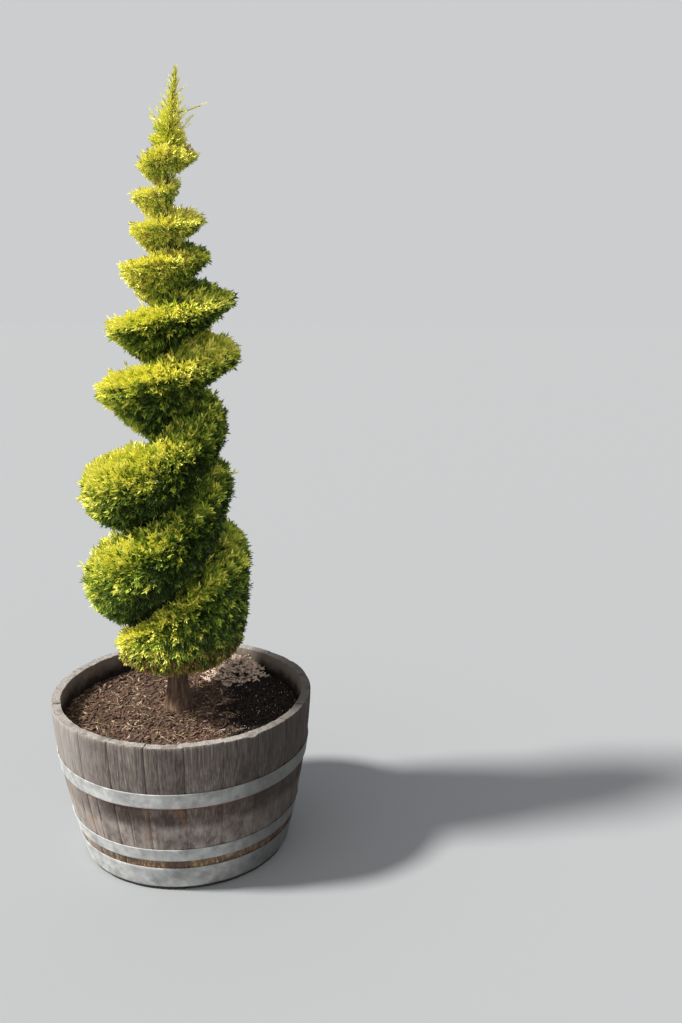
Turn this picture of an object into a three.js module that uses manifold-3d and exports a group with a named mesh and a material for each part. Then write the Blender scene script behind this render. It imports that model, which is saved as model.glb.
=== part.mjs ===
// A clipped spiral conifer, one trunk with a single foliage ramp winding up it, in half an oak barrel.
// Millimetres, +Z up. The origin is the centre of the barrel's underside, and +X is the ramp's right side.
import * as THREE from "three";
import { mergeVertices } from "three/addons/utils/BufferGeometryUtils.js";
import Module from "manifold-3d";

const wasm = await Module();
wasm.setup();

// Barrel: a cask sawn in half, its wide sawn edge up
const BARREL_HEIGHT = 420;
const RIM_RADIUS = 335;
const FOOT_RADIUS = 265;
const BILGE_POWER = 1.58;
const STAVE_COUNT = 22;
const STAVE_FACETS = 2;
const STAVE_THICKNESS = 25;
const STAVE_JOINT = 0.4;
const CHIME_BEVEL = 8;
const CLEARANCE = 0.3;

// Hoops, each by the distance of its edges below the rim
const HOOPS = [
  { name: "hoop_upper", top: 126, bottom: 166 },
  { name: "hoop_middle", top: 291, bottom: 326 },
  { name: "hoop_foot", top: 350, bottom: 410 },
];
const HOOP_THICKNESS = 2.4;

// Head board that closes the cask, held in a groove round the staves
const GROOVE_DEPTH = 5;
const HEAD_UNDERSIDE = 36;
const HEAD_THICKNESS = 24;

// Soil: level near the wall, heaped over the root ball and with mulch against the back wall
const SOIL_BELOW_RIM = 56;
const SOIL_WALL_GAP = 0.4;
const FOOT_OFFSET_X = -12;
const ROOT_BALL = { x: FOOT_OFFSET_X, y: 0, rise: 8, flat: 62, reach: 190 };
const MULCH_HEAP = { x: 118, y: 228, rise: 36, flat: 20, reach: 115 };
const SOIL_RING_PARTS = [0.72, 0.45, 0.2];

// Trunk: from a flat cut on the soil to the tip of the leader
const TRUNK_SIDES = 10;
const TRUNK_RINGS = 18;
const TRUNK_RING_CROWDING = 1.35;
const TRUNK_FOOT_Z = BARREL_HEIGHT - SOIL_BELOW_RIM + ROOT_BALL.rise + CLEARANCE;
const TREE_TOP_Z = 1940;
const TRUNK_FOOT_RADIUS = 24;
const TRUNK_TIP_RADIUS = 1.6;
const TRUNK_TAPER_POWER = 0.9;
const FLARE_RADIUS = 15;
const FLARE_HEIGHT = 38;
const LEAN_PER_METRE = 14;
const LEADER_BEND_Z = 1650;
const LEADER_BEND = 34;
const LEADER_BEND_POWER = 1.4;
const SWAY_Y = 5;

// Ramp: height above the rim and reach from the trunk, at the left and the right end of each turn
const RAMP_START = { height: 126, reach: 140 };
const TURNS = [
  { left: { height: 137, reach: 155 }, right: { height: 345, reach: 194 } },
  { left: { height: 304, reach: 228 }, right: { height: 552, reach: 148 } },
  { left: { height: 538, reach: 230 }, right: { height: 700, reach: 140 } },
  { left: { height: 781, reach: 180 }, right: { height: 870, reach: 172 } },
  { left: { height: 928, reach: 147 }, right: { height: 1000, reach: 159 } },
  { left: { height: 1071, reach: 111 }, right: { height: 1102, reach: 105 } },
  { left: { height: 1158, reach: 84 }, right: { height: 1180, reach: 93 } },
  { left: { height: 1233, reach: 76 }, right: { height: 1260, reach: 36 } },
  { left: { height: 1303, reach: 66 }, right: { height: 1322, reach: 72 } },
];
const RAMP_END = { height: 1350, reach: 34 };
const LEFT_AZIMUTH = THREE.MathUtils.degToRad(188.9);
const SKIRT_BOTTOM = 77;
const FIRST_COVERED_TURN = 0.75;

// Section of the ramp: deepest at the trunk, then narrowing to the rim, blunt on the low turns,
// as (1 - part of the reach ^ power) ^ rounding
const BLUNT_SECTION = { power: 3.8, rounding: 0.62 };
const POINTED_SECTION = { power: 2.1, rounding: 0.95 };
const CONE_SECTION = { power: 1.5, rounding: 1.1 };
const SKIRT_SECTION = { power: 7, rounding: 0.5 };
const BLUNT_UNTIL_TURN = 2;
const POINTED_FROM_TURN = 4.5;
// The underside passes through a cone on its way from blunt to pointed
const CONE_FROM_TURN = 2.9;
const CONE_UNTIL_TURN = 3.2;
// The part of the way up to the next turn that each stretch of the ramp fills
const RISE_SHARES = [
  { turn: 0.4, share: 0.2 },
  { turn: 0.6, share: 0.45 },
  { turn: 1.1, share: 0.5 },
  { turn: 1.4, share: 0.3 },
  { turn: 1.7, share: 0.4 },
  { turn: 2, share: 0.39 },
  { turn: 2.4, share: 0.42 },
  { turn: 3, share: 0.35 },
  { turn: 4.5, share: 0.3 },
];
const RIM_FRACTION = 0.14;
const TURN_GAP = 1.5;
const LEAST_RISE = 6;
// The top turn fills up to the foot of the leader, once past the end of the ramp
const TOP_TURN = { from: 7.92, to: 8.08, height: 1354 };

// Masses: how the ramp is shared out, each stretch with its own count of sprigs
const STRETCHES = [
  { from: -0.25, to: 3, masses: 13, sprigs: 7 },
  { from: 3, to: 7, masses: 12, sprigs: 6 },
  { from: 7, to: 8, masses: 2, sprigs: 6 },
  { from: 8, to: 8.9, masses: 2, sprigs: 5 },
];
const SEAM_GAP = 1;
const SPACE_MARGIN = 0.7;
const CORE_STATIONS = 5;
const CORE_TRUNK_GAP = 6;
const CORE_RADIUS_PARTS = [0, 0.55, 0.86, 1];
const FOLIAGE_DEPTH = 28;
const FOLIAGE_DEPTH_PART = 0.2;
const CORE_ROOT_INSET = 0.2;
const CORE_RIM_INSET = 0.45;
const STEM_SIDES = 5;
const STEM_RADIUS = 4.5;
const STEM_REACH_PART = 0.5;
const STEM_TRUNK_PART = 0.6;
const STEM_TAPER = 0.7;

// Sprigs: a three-sided twig that carries three flat blades of needles, sized as parts of the whole sprig
const SPRIG_LENGTH_PART = 2.7;
const TWIG_SIDES = 3;
const TWIG_RADIUS = 2.6;
const TWIG_PART = 0.4;
const TWIG_TAPER = 0.6;
const END_BLADE_START = 0.3;
const SIDE_BLADE_START = 0.25;
const SIDE_BLADE_PART = 0.62;
const SIDE_BLADE_ANGLE = 0.62;
const BLADE_WIDTH_PART = 0.7;
const BLADE_THICKNESS_PART = 0.2;
const BLADE_WAIST = 0.5;
const SPRIG_TRIES = 8;
const GOLDEN_PART = 0.618034;
const SPRIG_LOWEST = -0.7;
const SPRIG_HIGHEST = 0.85;
const SPRIG_PITCH = 0.95;
const SPRIG_LIFT = 0.12;
const PITCH_JITTER = 0.3;
const SIDEWAYS_JITTER = 0.7;
const PLACE_MARGIN = 0.15;
const PLACE_JITTER = 1 - 2 * PLACE_MARGIN;
const HEIGHT_START = 0.35;
const HEIGHT_JITTER = 0.15;
const FIRST_SEED = 101;

// Leader: a thin sleeve of unclipped shoots round the top of the trunk, by height above the rim
const LEADER_SLEEVE = [
  { height: 1357, radius: 30 },
  { height: 1384, radius: 20 },
  { height: 1408, radius: 20 },
  { height: 1436, radius: 15 },
  { height: 1465, radius: 8 },
  { height: 1496, radius: 5 },
];
const SLEEVE_SIDES = 7;
const SLEEVE_TRUNK_GAP = 1.2;
const LEADER_SPRIGS = 9;
const LEADER_SPRIG_LOW = 46;
const LEADER_SPRIG_HIGH = 24;
const LEADER_SEED = 71;
const LEADER_FOOT_GAP = 12;
const LEADER_TIP_GAP = 8;
const LEADER_TURN_JITTER = 0.2;
const LEADER_LENGTH_LEAST = 0.9;
const LEADER_LENGTH_SPREAD = 0.3;
const LEADER_LOW_PITCH = 0.7;
const LEADER_HIGH_PITCH = 1.15;
const LEADER_TURN = 2.4;
const LEADER_STEM = { rise: 30, radius: 1.6, length: 6 };
const SHOOT_ROOT_DEPTH = 3.4;
const LONG_SHOOT = { height: 1418, azimuth: 0.1, length: 72, pitch: 0.25 };

const UP = new THREE.Vector3(0, 0, 1);

const WOOD = new THREE.MeshStandardMaterial({ color: 0x6f6862, roughness: 0.85, metalness: 0 });
const STEEL = new THREE.MeshStandardMaterial({ color: 0x8d9290, roughness: 0.5, metalness: 0.8 });
const SOIL = new THREE.MeshStandardMaterial({ color: 0x4a3a30, roughness: 0.95, metalness: 0 });
const BARK = new THREE.MeshStandardMaterial({ color: 0x6b4a35, roughness: 0.9, metalness: 0 });
const NEEDLES = new THREE.MeshStandardMaterial({ color: 0x9bb02c, roughness: 0.7, metalness: 0 });

function seededRandom(seed) {
  let state = seed >>> 0;
  return () => {
    state = (state + 0x6d2b79f5) >>> 0;
    let mixed = Math.imul(state ^ (state >>> 15), state | 1);
    mixed ^= mixed + Math.imul(mixed ^ (mixed >>> 7), mixed | 61);
    return ((mixed ^ (mixed >>> 14)) >>> 0) / 4294967296;
  };
}

// Geometry from a list of points and a list of corner triples
function geometryOf(points, triangles) {
  const geometry = new THREE.BufferGeometry();
  const positions = points.flatMap((point) => [point.x, point.y, point.z]);
  geometry.setAttribute("position", new THREE.Float32BufferAttribute(positions, 3));
  geometry.setIndex(triangles.flat());
  return geometry;
}

function solidOf(geometry) {
  const bare = geometry.clone();
  bare.deleteAttribute("normal");
  bare.deleteAttribute("uv");
  const merged = mergeVertices(bare, 1e-4);
  const vertProperties = new Float32Array(merged.attributes.position.array);
  const triVerts = new Uint32Array(merged.index.array);
  return new wasm.Manifold(new wasm.Mesh({ numProp: 3, vertProperties, triVerts }));
}

// The largest closed shell of a solid, so a hollow sealed by the fusing is filled and a scrap dropped
function outerShell(solid) {
  const mesh = solid.getMesh();
  const geometry = new THREE.BufferGeometry();
  geometry.setAttribute("position", new THREE.BufferAttribute(new Float32Array(mesh.vertProperties), 3));
  geometry.setIndex(new THREE.BufferAttribute(new Uint32Array(mesh.triVerts), 1));
  const merged = mergeVertices(geometry, 2e-3);
  const corners = merged.index.array;
  const position = merged.attributes.position;
  const owner = Array.from({ length: position.count }, (_, index) => index);
  const rootOf = (index) => {
    let root = index;
    while (owner[root] !== root) root = owner[root];
    owner[index] = root;
    return root;
  };
  for (let at = 0; at < corners.length; at += 3) {
    owner[rootOf(corners[at])] = rootOf(corners[at + 1]);
    owner[rootOf(corners[at + 1])] = rootOf(corners[at + 2]);
  }
  const shells = new Map();
  const [a, b, c] = [new THREE.Vector3(), new THREE.Vector3(), new THREE.Vector3()];
  for (let at = 0; at < corners.length; at += 3) {
    const triple = [corners[at], corners[at + 1], corners[at + 2]];
    if (triple[0] === triple[1] || triple[1] === triple[2] || triple[2] === triple[0]) continue;
    const root = rootOf(triple[0]);
    const shell = shells.get(root) ?? { volume: 0, triangles: [] };
    a.fromBufferAttribute(position, triple[0]);
    b.fromBufferAttribute(position, triple[1]);
    c.fromBufferAttribute(position, triple[2]);
    shell.volume += a.dot(b.cross(c)) / 6;
    shell.triangles.push(...triple);
    shells.set(root, shell);
  }
  const largest = [...shells.values()].reduce((best, shell) => (shell.volume > best.volume ? shell : best));
  merged.setIndex(largest.triangles);
  return merged;
}

function meshOf(name, geometry, material) {
  const mesh = new THREE.Mesh(geometry, material);
  mesh.name = name;
  return mesh;
}

// A closed profile of [radius, height] points turned through part of a circle, with flat end faces
function sectorGeometry(profile, start, end, steps) {
  const points = [];
  for (let step = 0; step <= steps; step += 1) {
    const angle = THREE.MathUtils.lerp(start, end, step / steps);
    for (const [radius, height] of profile) {
      points.push(new THREE.Vector3(radius * Math.cos(angle), radius * Math.sin(angle), height));
    }
  }
  const size = profile.length;
  const triangles = [];
  for (let step = 0; step < steps; step += 1) {
    for (let at = 0; at < size; at += 1) {
      const low = step * size + at;
      const next = step * size + ((at + 1) % size);
      triangles.push([low, low + size, next], [next, low + size, next + size]);
    }
  }
  const outline = profile.map(([radius, height]) => new THREE.Vector2(radius, height));
  for (const [p, q, r] of THREE.ShapeUtils.triangulateShape(outline, [])) {
    triangles.push([p, q, r], [steps * size + p, steps * size + r, steps * size + q]);
  }
  return geometryOf(points, triangles);
}

// A closed ring or a full disc of the same facets as the staves
function ringGeometry(profile) {
  const facets = STAVE_COUNT * STAVE_FACETS;
  const points = profile.map(([radius, height]) => new THREE.Vector2(radius, height));
  const lathe = new THREE.LatheGeometry(points, facets, 0, 2 * Math.PI);
  lathe.rotateX(Math.PI / 2);
  lathe.deleteAttribute("normal");
  lathe.deleteAttribute("uv");
  const merged = mergeVertices(lathe, 1e-3);
  const whole = [];
  for (let at = 0; at < merged.index.count; at += 3) {
    const [p, q, r] = [0, 1, 2].map((corner) => merged.index.getX(at + corner));
    if (p !== q && q !== r && r !== p) whole.push(p, q, r);
  }
  merged.setIndex(whole);
  return merged;
}

// Barrel

function staveOuterRadius(height) {
  const below = (BARREL_HEIGHT - height) / BARREL_HEIGHT;
  return RIM_RADIUS - (RIM_RADIUS - FOOT_RADIUS) * below ** BILGE_POWER;
}

function staveInnerRadius(height) {
  return staveOuterRadius(height) - STAVE_THICKNESS;
}

const STAVE_BREAKS = [0, 60, ...HOOPS.flatMap((hoop) => [hoop.top, hoop.bottom]), BARREL_HEIGHT]
  .map((below) => BARREL_HEIGHT - below);

// The radius on the faceted stave at any height, straight between the heights where it bends
function onStave(radiusAt, height) {
  const upper = STAVE_BREAKS.filter((at) => at >= height).pop();
  const lower = STAVE_BREAKS.find((at) => at <= height);
  if (upper === lower) return radiusAt(height);
  const part = (height - lower) / (upper - lower);
  return THREE.MathUtils.lerp(radiusAt(lower), radiusAt(upper), part);
}

function staveProfile() {
  const headTop = HEAD_UNDERSIDE + HEAD_THICKNESS;
  const outer = STAVE_BREAKS.map((height) => [staveOuterRadius(height), height]);
  const wall = (height) => onStave(staveInnerRadius, height);
  const inner = [
    [wall(0) + CHIME_BEVEL, 0],
    [wall(CHIME_BEVEL), CHIME_BEVEL],
    [wall(HEAD_UNDERSIDE), HEAD_UNDERSIDE],
    [wall(HEAD_UNDERSIDE) + GROOVE_DEPTH, HEAD_UNDERSIDE],
    [wall(headTop) + GROOVE_DEPTH, headTop],
    [wall(headTop), headTop],
    ...STAVE_BREAKS.filter((height) => height > headTop).reverse().map((height) => [wall(height), height]),
  ];
  return [...outer, ...inner].reverse();
}

function staves() {
  const profile = staveProfile();
  const share = (2 * Math.PI) / STAVE_COUNT;
  const trim = STAVE_JOINT / 2 / RIM_RADIUS;
  return Array.from({ length: STAVE_COUNT }, (_, index) => {
    const start = index * share + trim;
    const geometry = sectorGeometry(profile, start, (index + 1) * share - trim, STAVE_FACETS);
    return meshOf(`stave_${String(index + 1).padStart(2, "0")}`, geometry, WOOD);
  });
}

function hoops() {
  return HOOPS.map(({ name, top, bottom }) => {
    const [high, low] = [BARREL_HEIGHT - top, BARREL_HEIGHT - bottom];
    const [highRadius, lowRadius] = [high, low].map((height) => staveOuterRadius(height) + CLEARANCE);
    const profile = [
      [lowRadius, low],
      [lowRadius + HOOP_THICKNESS, low],
      [highRadius + HOOP_THICKNESS, high],
      [highRadius, high],
      [lowRadius, low],
    ];
    return meshOf(name, ringGeometry(profile), STEEL);
  });
}

function headBoard() {
  const low = HEAD_UNDERSIDE + CLEARANCE;
  const high = HEAD_UNDERSIDE + HEAD_THICKNESS - CLEARANCE;
  const edge = GROOVE_DEPTH - CLEARANCE;
  const lowRadius = onStave(staveInnerRadius, HEAD_UNDERSIDE) + edge;
  const profile = [[0, low], [lowRadius, low], [lowRadius, high], [0, high]];
  return meshOf("head_board", ringGeometry(profile), WOOD);
}

function heapAt({ x, y, rise, flat, reach }, place) {
  const away = Math.hypot(place.x - x, place.y - y);
  return rise * (1 - THREE.MathUtils.smoothstep(away, flat, reach));
}

function soilHeight(place) {
  return BARREL_HEIGHT - SOIL_BELOW_RIM + heapAt(ROOT_BALL, place) + heapAt(MULCH_HEAP, place);
}

// A point of the soil's side at a facet of the staves
function soilSide(facet, height) {
  const angle = (2 * Math.PI * facet) / (STAVE_COUNT * STAVE_FACETS);
  const radius = onStave(staveInnerRadius, height) - SOIL_WALL_GAP;
  return new THREE.Vector3(radius * Math.cos(angle), radius * Math.sin(angle), height);
}

function soil() {
  const facets = Array.from({ length: STAVE_COUNT * STAVE_FACETS }, (_, facet) => facet);
  const low = HEAD_UNDERSIDE + HEAD_THICKNESS;
  const level = BARREL_HEIGHT - SOIL_BELOW_RIM;
  const bends = STAVE_BREAKS.filter((height) => height > low && height < level).reverse();
  const sides = [low, ...bends].flatMap((height) => facets.map((facet) => soilSide(facet, height)));
  const edge = facets.map((facet) => soilSide(facet, soilHeight(soilSide(facet, level))));
  const foot = new THREE.Vector3(ROOT_BALL.x, ROOT_BALL.y, level);
  const top = SOIL_RING_PARTS.flatMap((part) => edge.map((corner) => {
    const place = foot.clone().lerp(corner, part);
    return place.setZ(soilHeight(place));
  }));
  return meshOf("soil", tubeGeometry([...sides, ...edge, ...top], facets.length), SOIL);
}

// Trunk

function trunkCentre(height) {
  const rise = (height - TRUNK_FOOT_Z) / 1000;
  const bend = Math.max(0, (height - LEADER_BEND_Z) / (TREE_TOP_Z - LEADER_BEND_Z));
  const x = FOOT_OFFSET_X + LEAN_PER_METRE * rise + LEADER_BEND * bend ** LEADER_BEND_POWER;
  const y = SWAY_Y * Math.sin(Math.PI * rise);
  return new THREE.Vector2(x, y);
}

function trunkRadius(height) {
  const part = THREE.MathUtils.clamp((height - TRUNK_FOOT_Z) / (TREE_TOP_Z - TRUNK_FOOT_Z), 0, 1);
  const taper = THREE.MathUtils.lerp(TRUNK_TIP_RADIUS, TRUNK_FOOT_RADIUS, (1 - part) ** TRUNK_TAPER_POWER);
  const flare = FLARE_RADIUS * Math.exp(-(height - TRUNK_FOOT_Z) / FLARE_HEIGHT);
  return taper + flare;
}

// The trunk as rings joined up, or a copy grown all round by a clearance
function trunkGeometry(growth) {
  const points = [];
  for (let ring = 0; ring <= TRUNK_RINGS; ring += 1) {
    const part = (ring / TRUNK_RINGS) ** TRUNK_RING_CROWDING;
    const grownEnd = ring === TRUNK_RINGS ? growth : 0;
    const height = THREE.MathUtils.lerp(TRUNK_FOOT_Z, TREE_TOP_Z, part) + grownEnd;
    const centre = trunkCentre(height);
    const radius = trunkRadius(height) + growth / Math.cos(Math.PI / TRUNK_SIDES);
    for (let side = 0; side < TRUNK_SIDES; side += 1) {
      const angle = (2 * Math.PI * side) / TRUNK_SIDES;
      const [x, y] = [centre.x + radius * Math.cos(angle), centre.y + radius * Math.sin(angle)];
      points.push(new THREE.Vector3(x, y, height));
    }
  }
  return tubeGeometry(points, TRUNK_SIDES);
}

// A closed tube from rings of the same number of points
function tubeGeometry(points, sides) {
  const rings = points.length / sides;
  const triangles = [];
  for (let ring = 0; ring < rings - 1; ring += 1) {
    for (let side = 0; side < sides; side += 1) {
      const low = ring * sides + side;
      const next = ring * sides + ((side + 1) % sides);
      triangles.push([low, next, low + sides], [next, next + sides, low + sides]);
    }
  }
  const last = (rings - 1) * sides;
  for (let side = 1; side < sides - 1; side += 1) {
    triangles.push([0, side + 1, side], [last, last + side, last + side + 1]);
  }
  return geometryOf(points, triangles);
}

// Ramp: height and reach as smooth curves of the turn, counted from the left end of the lowest one

const FIRST_KEY_TURN = -0.5;
const RAMP_KEYS = [RAMP_START, ...TURNS.flatMap(({ left, right }) => [left, right]), RAMP_END];
const LAST_KEY_TURN = FIRST_KEY_TURN + (RAMP_KEYS.length - 1) / 2;

function rampCurve(size) {
  const curve = new THREE.SplineCurve(RAMP_KEYS.map((key, index) => new THREE.Vector2(index, key[size])));
  return (turn) => {
    const part = (turn - FIRST_KEY_TURN) / (LAST_KEY_TURN - FIRST_KEY_TURN);
    return curve.getPoint(THREE.MathUtils.clamp(part, 0, 1)).y;
  };
}

const rampHeight = rampCurve("height");
const rampReach = rampCurve("reach");

function blendSections(first, second, part) {
  return {
    power: THREE.MathUtils.lerp(first.power, second.power, part),
    rounding: THREE.MathUtils.lerp(first.rounding, second.rounding, part),
  };
}

function sectionAt(turn) {
  const part = THREE.MathUtils.smoothstep(turn, BLUNT_UNTIL_TURN, POINTED_FROM_TURN);
  return blendSections(BLUNT_SECTION, POINTED_SECTION, part);
}

function undersideAt(turn) {
  const coned = THREE.MathUtils.smoothstep(turn, BLUNT_UNTIL_TURN, CONE_FROM_TURN);
  const pointed = THREE.MathUtils.smoothstep(turn, CONE_UNTIL_TURN, POINTED_FROM_TURN);
  return blendSections(blendSections(BLUNT_SECTION, CONE_SECTION, coned), POINTED_SECTION, pointed);
}

function riseShare(turn) {
  const after = RISE_SHARES.findIndex((key) => key.turn > turn);
  if (after === 0) return RISE_SHARES[0].share;
  if (after < 0) return RISE_SHARES.at(-1).share;
  const [low, high] = [RISE_SHARES[after - 1], RISE_SHARES[after]];
  const part = THREE.MathUtils.smoothstep(turn, low.turn, high.turn);
  return THREE.MathUtils.lerp(low.share, high.share, part);
}

// How far the section reaches above and below its rim line at the trunk
function rootRise(turn) {
  const spacing = rampHeight(turn + 1) - rampHeight(turn);
  const shared = Math.max(spacing * riseShare(turn) - TURN_GAP, LEAST_RISE);
  const free = Math.max(TOP_TURN.height - rampHeight(turn), LEAST_RISE);
  return THREE.MathUtils.lerp(shared, free, THREE.MathUtils.smoothstep(turn, TOP_TURN.from, TOP_TURN.to));
}

function rootDrop(turn, isSkirt) {
  if (isSkirt) return rampHeight(turn) - SKIRT_BOTTOM;
  const spacing = rampHeight(turn) - rampHeight(turn - 1);
  return spacing * (1 - riseShare(turn - 1)) - TURN_GAP;
}

// Half height of the section at a part of its reach
function halfHeight(root, { power, rounding }, part) {
  const narrowed = (1 - Math.min(part, 1) ** power) ** rounding;
  return root * THREE.MathUtils.lerp(RIM_FRACTION, 1, narrowed);
}

// The stretch of the ramp that one mass may fill
class RampSpace {
  constructor(from, to) {
    this.from = from;
    this.to = to;
    this.middle = (from + to) / 2;
    this.isSkirt = to <= FIRST_COVERED_TURN;
    this.reach = rampReach(this.middle);
    this.depth = Math.min(FOLIAGE_DEPTH, FOLIAGE_DEPTH_PART * this.reach);
  }

  // Top and bottom of the section above the barrel's underside
  limits(turn, part) {
    const rim = BARREL_HEIGHT + rampHeight(turn);
    const under = this.isSkirt ? SKIRT_SECTION : undersideAt(turn);
    return {
      high: rim + halfHeight(rootRise(turn), sectionAt(turn), part),
      low: rim - halfHeight(rootDrop(turn, this.isSkirt), under, part),
    };
  }

  // The point of the outline at a signed part of the half height, 1 at the top and -1 at the bottom
  outline(turn, signedPart) {
    const under = this.isSkirt ? SKIRT_SECTION : undersideAt(turn);
    const section = signedPart < 0 ? under : sectionAt(turn);
    const root = signedPart < 0 ? rootDrop(turn, this.isSkirt) : rootRise(turn);
    const narrowed = Math.max(0, (Math.abs(signedPart) - RIM_FRACTION) / (1 - RIM_FRACTION));
    const part = (1 - narrowed ** (1 / section.rounding)) ** (1 / section.power);
    return { radius: rampReach(turn) * part, height: BARREL_HEIGHT + rampHeight(turn) + root * signedPart };
  }

  place(turn, radius, height, sideways = 0) {
    const angle = LEFT_AZIMUTH + 2 * Math.PI * turn + sideways / Math.max(radius, 1);
    const centre = trunkCentre(height);
    const [x, y] = [centre.x + radius * Math.cos(angle), centre.y + radius * Math.sin(angle)];
    return new THREE.Vector3(x, y, height);
  }

  contains(point, margin = SPACE_MARGIN) {
    const centre = trunkCentre(point.z);
    const [x, y] = [point.x - centre.x, point.y - centre.y];
    const radius = Math.hypot(x, y);
    const around = (Math.atan2(y, x) - LEFT_AZIMUTH) / (2 * Math.PI) - this.middle;
    const turn = this.middle + around - Math.round(around);
    const trim = margin / (2 * Math.PI * Math.max(radius, 1));
    if (turn < this.from + trim || turn > this.to - trim) return false;
    const part = radius / rampReach(turn);
    if (part > 1 || radius < trunkRadius(point.z) + margin) return false;
    const { high, low } = this.limits(turn, part);
    return point.z < high - margin && point.z > low + margin;
  }
}

// The core that the sprigs of a mass stand out of, cut back by the foliage's depth, less so at the trunk
function coreGeometry(space) {
  const points = [];
  for (let station = 0; station <= CORE_STATIONS; station += 1) {
    const along = station / CORE_STATIONS;
    const turn = THREE.MathUtils.lerp(space.from, space.to, along);
    const rim = BARREL_HEIGHT + rampHeight(turn);
    const reach = rampReach(turn);
    const inner = trunkRadius(rim) + CORE_TRUNK_GAP;
    const outer = reach - space.depth;
    const radii = CORE_RADIUS_PARTS.map((part) => THREE.MathUtils.lerp(inner, outer, part));
    const insetAt = (radius) => {
      return space.depth * THREE.MathUtils.lerp(CORE_ROOT_INSET, CORE_RIM_INSET, radius / reach);
    };
    const section = [
      ...radii.map((radius) => [radius, space.limits(turn, radius / reach).high - insetAt(radius)]),
      ...radii.reverse().map((radius) => [radius, space.limits(turn, radius / reach).low + insetAt(radius)]),
    ];
    const sideways = (SEAM_GAP / 2) * (1 - 2 * along);
    for (const [radius, height] of section) {
      points.push(space.place(turn, radius, height, sideways));
    }
  }
  return tubeGeometry(points, 2 * CORE_RADIUS_PARTS.length);
}

// A tapering stick between two points
function stickGeometry(start, end, startRadius, endRadius, sides) {
  const axis = end.clone().sub(start).normalize();
  const across = UP.clone().cross(axis).normalize();
  const upward = axis.clone().cross(across);
  const points = [];
  for (const [centre, radius] of [[start, startRadius], [end, endRadius]]) {
    for (let side = 0; side < sides; side += 1) {
      const angle = (2 * Math.PI * side) / sides;
      const offset = across.clone().multiplyScalar(radius * Math.cos(angle));
      points.push(offset.addScaledVector(upward, radius * Math.sin(angle)).add(centre));
    }
  }
  return tubeGeometry(points, sides);
}

// A flat blade of eight faces, its root and tip pointed
function bladePoints(root, axis, across, length) {
  const face = axis.clone().cross(across).normalize();
  const waist = root.clone().addScaledVector(axis, length * BLADE_WAIST);
  const halfWidth = (length * BLADE_WIDTH_PART) / 2;
  const halfThickness = (length * BLADE_THICKNESS_PART) / 2;
  return [
    root.clone(),
    waist.clone().addScaledVector(across, halfWidth),
    waist.clone().addScaledVector(face, halfThickness),
    waist.clone().addScaledVector(across, -halfWidth),
    waist.clone().addScaledVector(face, -halfThickness),
    root.clone().addScaledVector(axis, length),
  ];
}

function bladeGeometry(points) {
  const triangles = [];
  for (let side = 0; side < 4; side += 1) {
    const [near, next] = [1 + side, 1 + ((side + 1) % 4)];
    triangles.push([0, next, near], [5, near, next]);
  }
  return geometryOf(points, triangles);
}

// A twig with a blade at its end and one on either side, all in one plane; null if it would leave the space
function sprig(space, tip, axis, across, length) {
  const root = tip.clone().addScaledVector(axis, -length);
  const along = (part) => root.clone().addScaledVector(axis, length * part);
  const blades = [bladePoints(along(END_BLADE_START), axis, across, length * (1 - END_BLADE_START))];
  for (const angle of [-SIDE_BLADE_ANGLE, SIDE_BLADE_ANGLE]) {
    const [forward, sideward] = [Math.cos(angle), Math.sin(angle)];
    const direction = axis.clone().multiplyScalar(forward).addScaledVector(across, sideward);
    const breadth = across.clone().multiplyScalar(forward).addScaledVector(axis, -sideward);
    blades.push(bladePoints(along(SIDE_BLADE_START), direction, breadth, length * SIDE_BLADE_PART));
  }
  if (!space.contains(root, TWIG_RADIUS + SPACE_MARGIN)) return null;
  if (!blades.flat().every((point) => space.contains(point))) return null;
  const twig = stickGeometry(root, along(TWIG_PART), TWIG_RADIUS, TWIG_RADIUS * TWIG_TAPER, TWIG_SIDES);
  return [twig, ...blades.map(bladeGeometry)];
}

// A direction square to the axis, turned round it at random
function crosswise(axis, random) {
  const level = UP.clone().cross(axis).normalize();
  return level.applyAxisAngle(axis, Math.PI * random());
}

// Where a sprig of a ramp mass ends, and which way it points: over the top, the rim and the underside
function rampSprig(space, index, count, random) {
  const along = (index + PLACE_MARGIN + PLACE_JITTER * random()) / count;
  const turn = THREE.MathUtils.lerp(space.from, space.to, along);
  const shuffled = (HEIGHT_START + index * GOLDEN_PART + HEIGHT_JITTER * random()) % 1;
  const signedPart = THREE.MathUtils.lerp(SPRIG_LOWEST, SPRIG_HIGHEST, shuffled);
  const { radius, height } = space.outline(turn, signedPart);
  const tip = space.place(turn, radius, height);
  const outward = space.place(turn, radius + 1, height).sub(tip);
  const pitch = SPRIG_PITCH * signedPart + SPRIG_LIFT + PITCH_JITTER * (random() - 0.5);
  const axis = outward.clone().multiplyScalar(Math.cos(pitch));
  axis.addScaledVector(new THREE.Vector3(-outward.y, outward.x, 0), SIDEWAYS_JITTER * (random() - 0.5));
  axis.z += Math.sin(pitch);
  axis.normalize();
  return { tip, axis, across: crosswise(axis, random) };
}

function fuse(geometries) {
  return geometries.map(solidOf).reduce((whole, piece) => whole.add(piece));
}

const TRUNK_CLEARANCE = solidOf(trunkGeometry(CLEARANCE));

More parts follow.
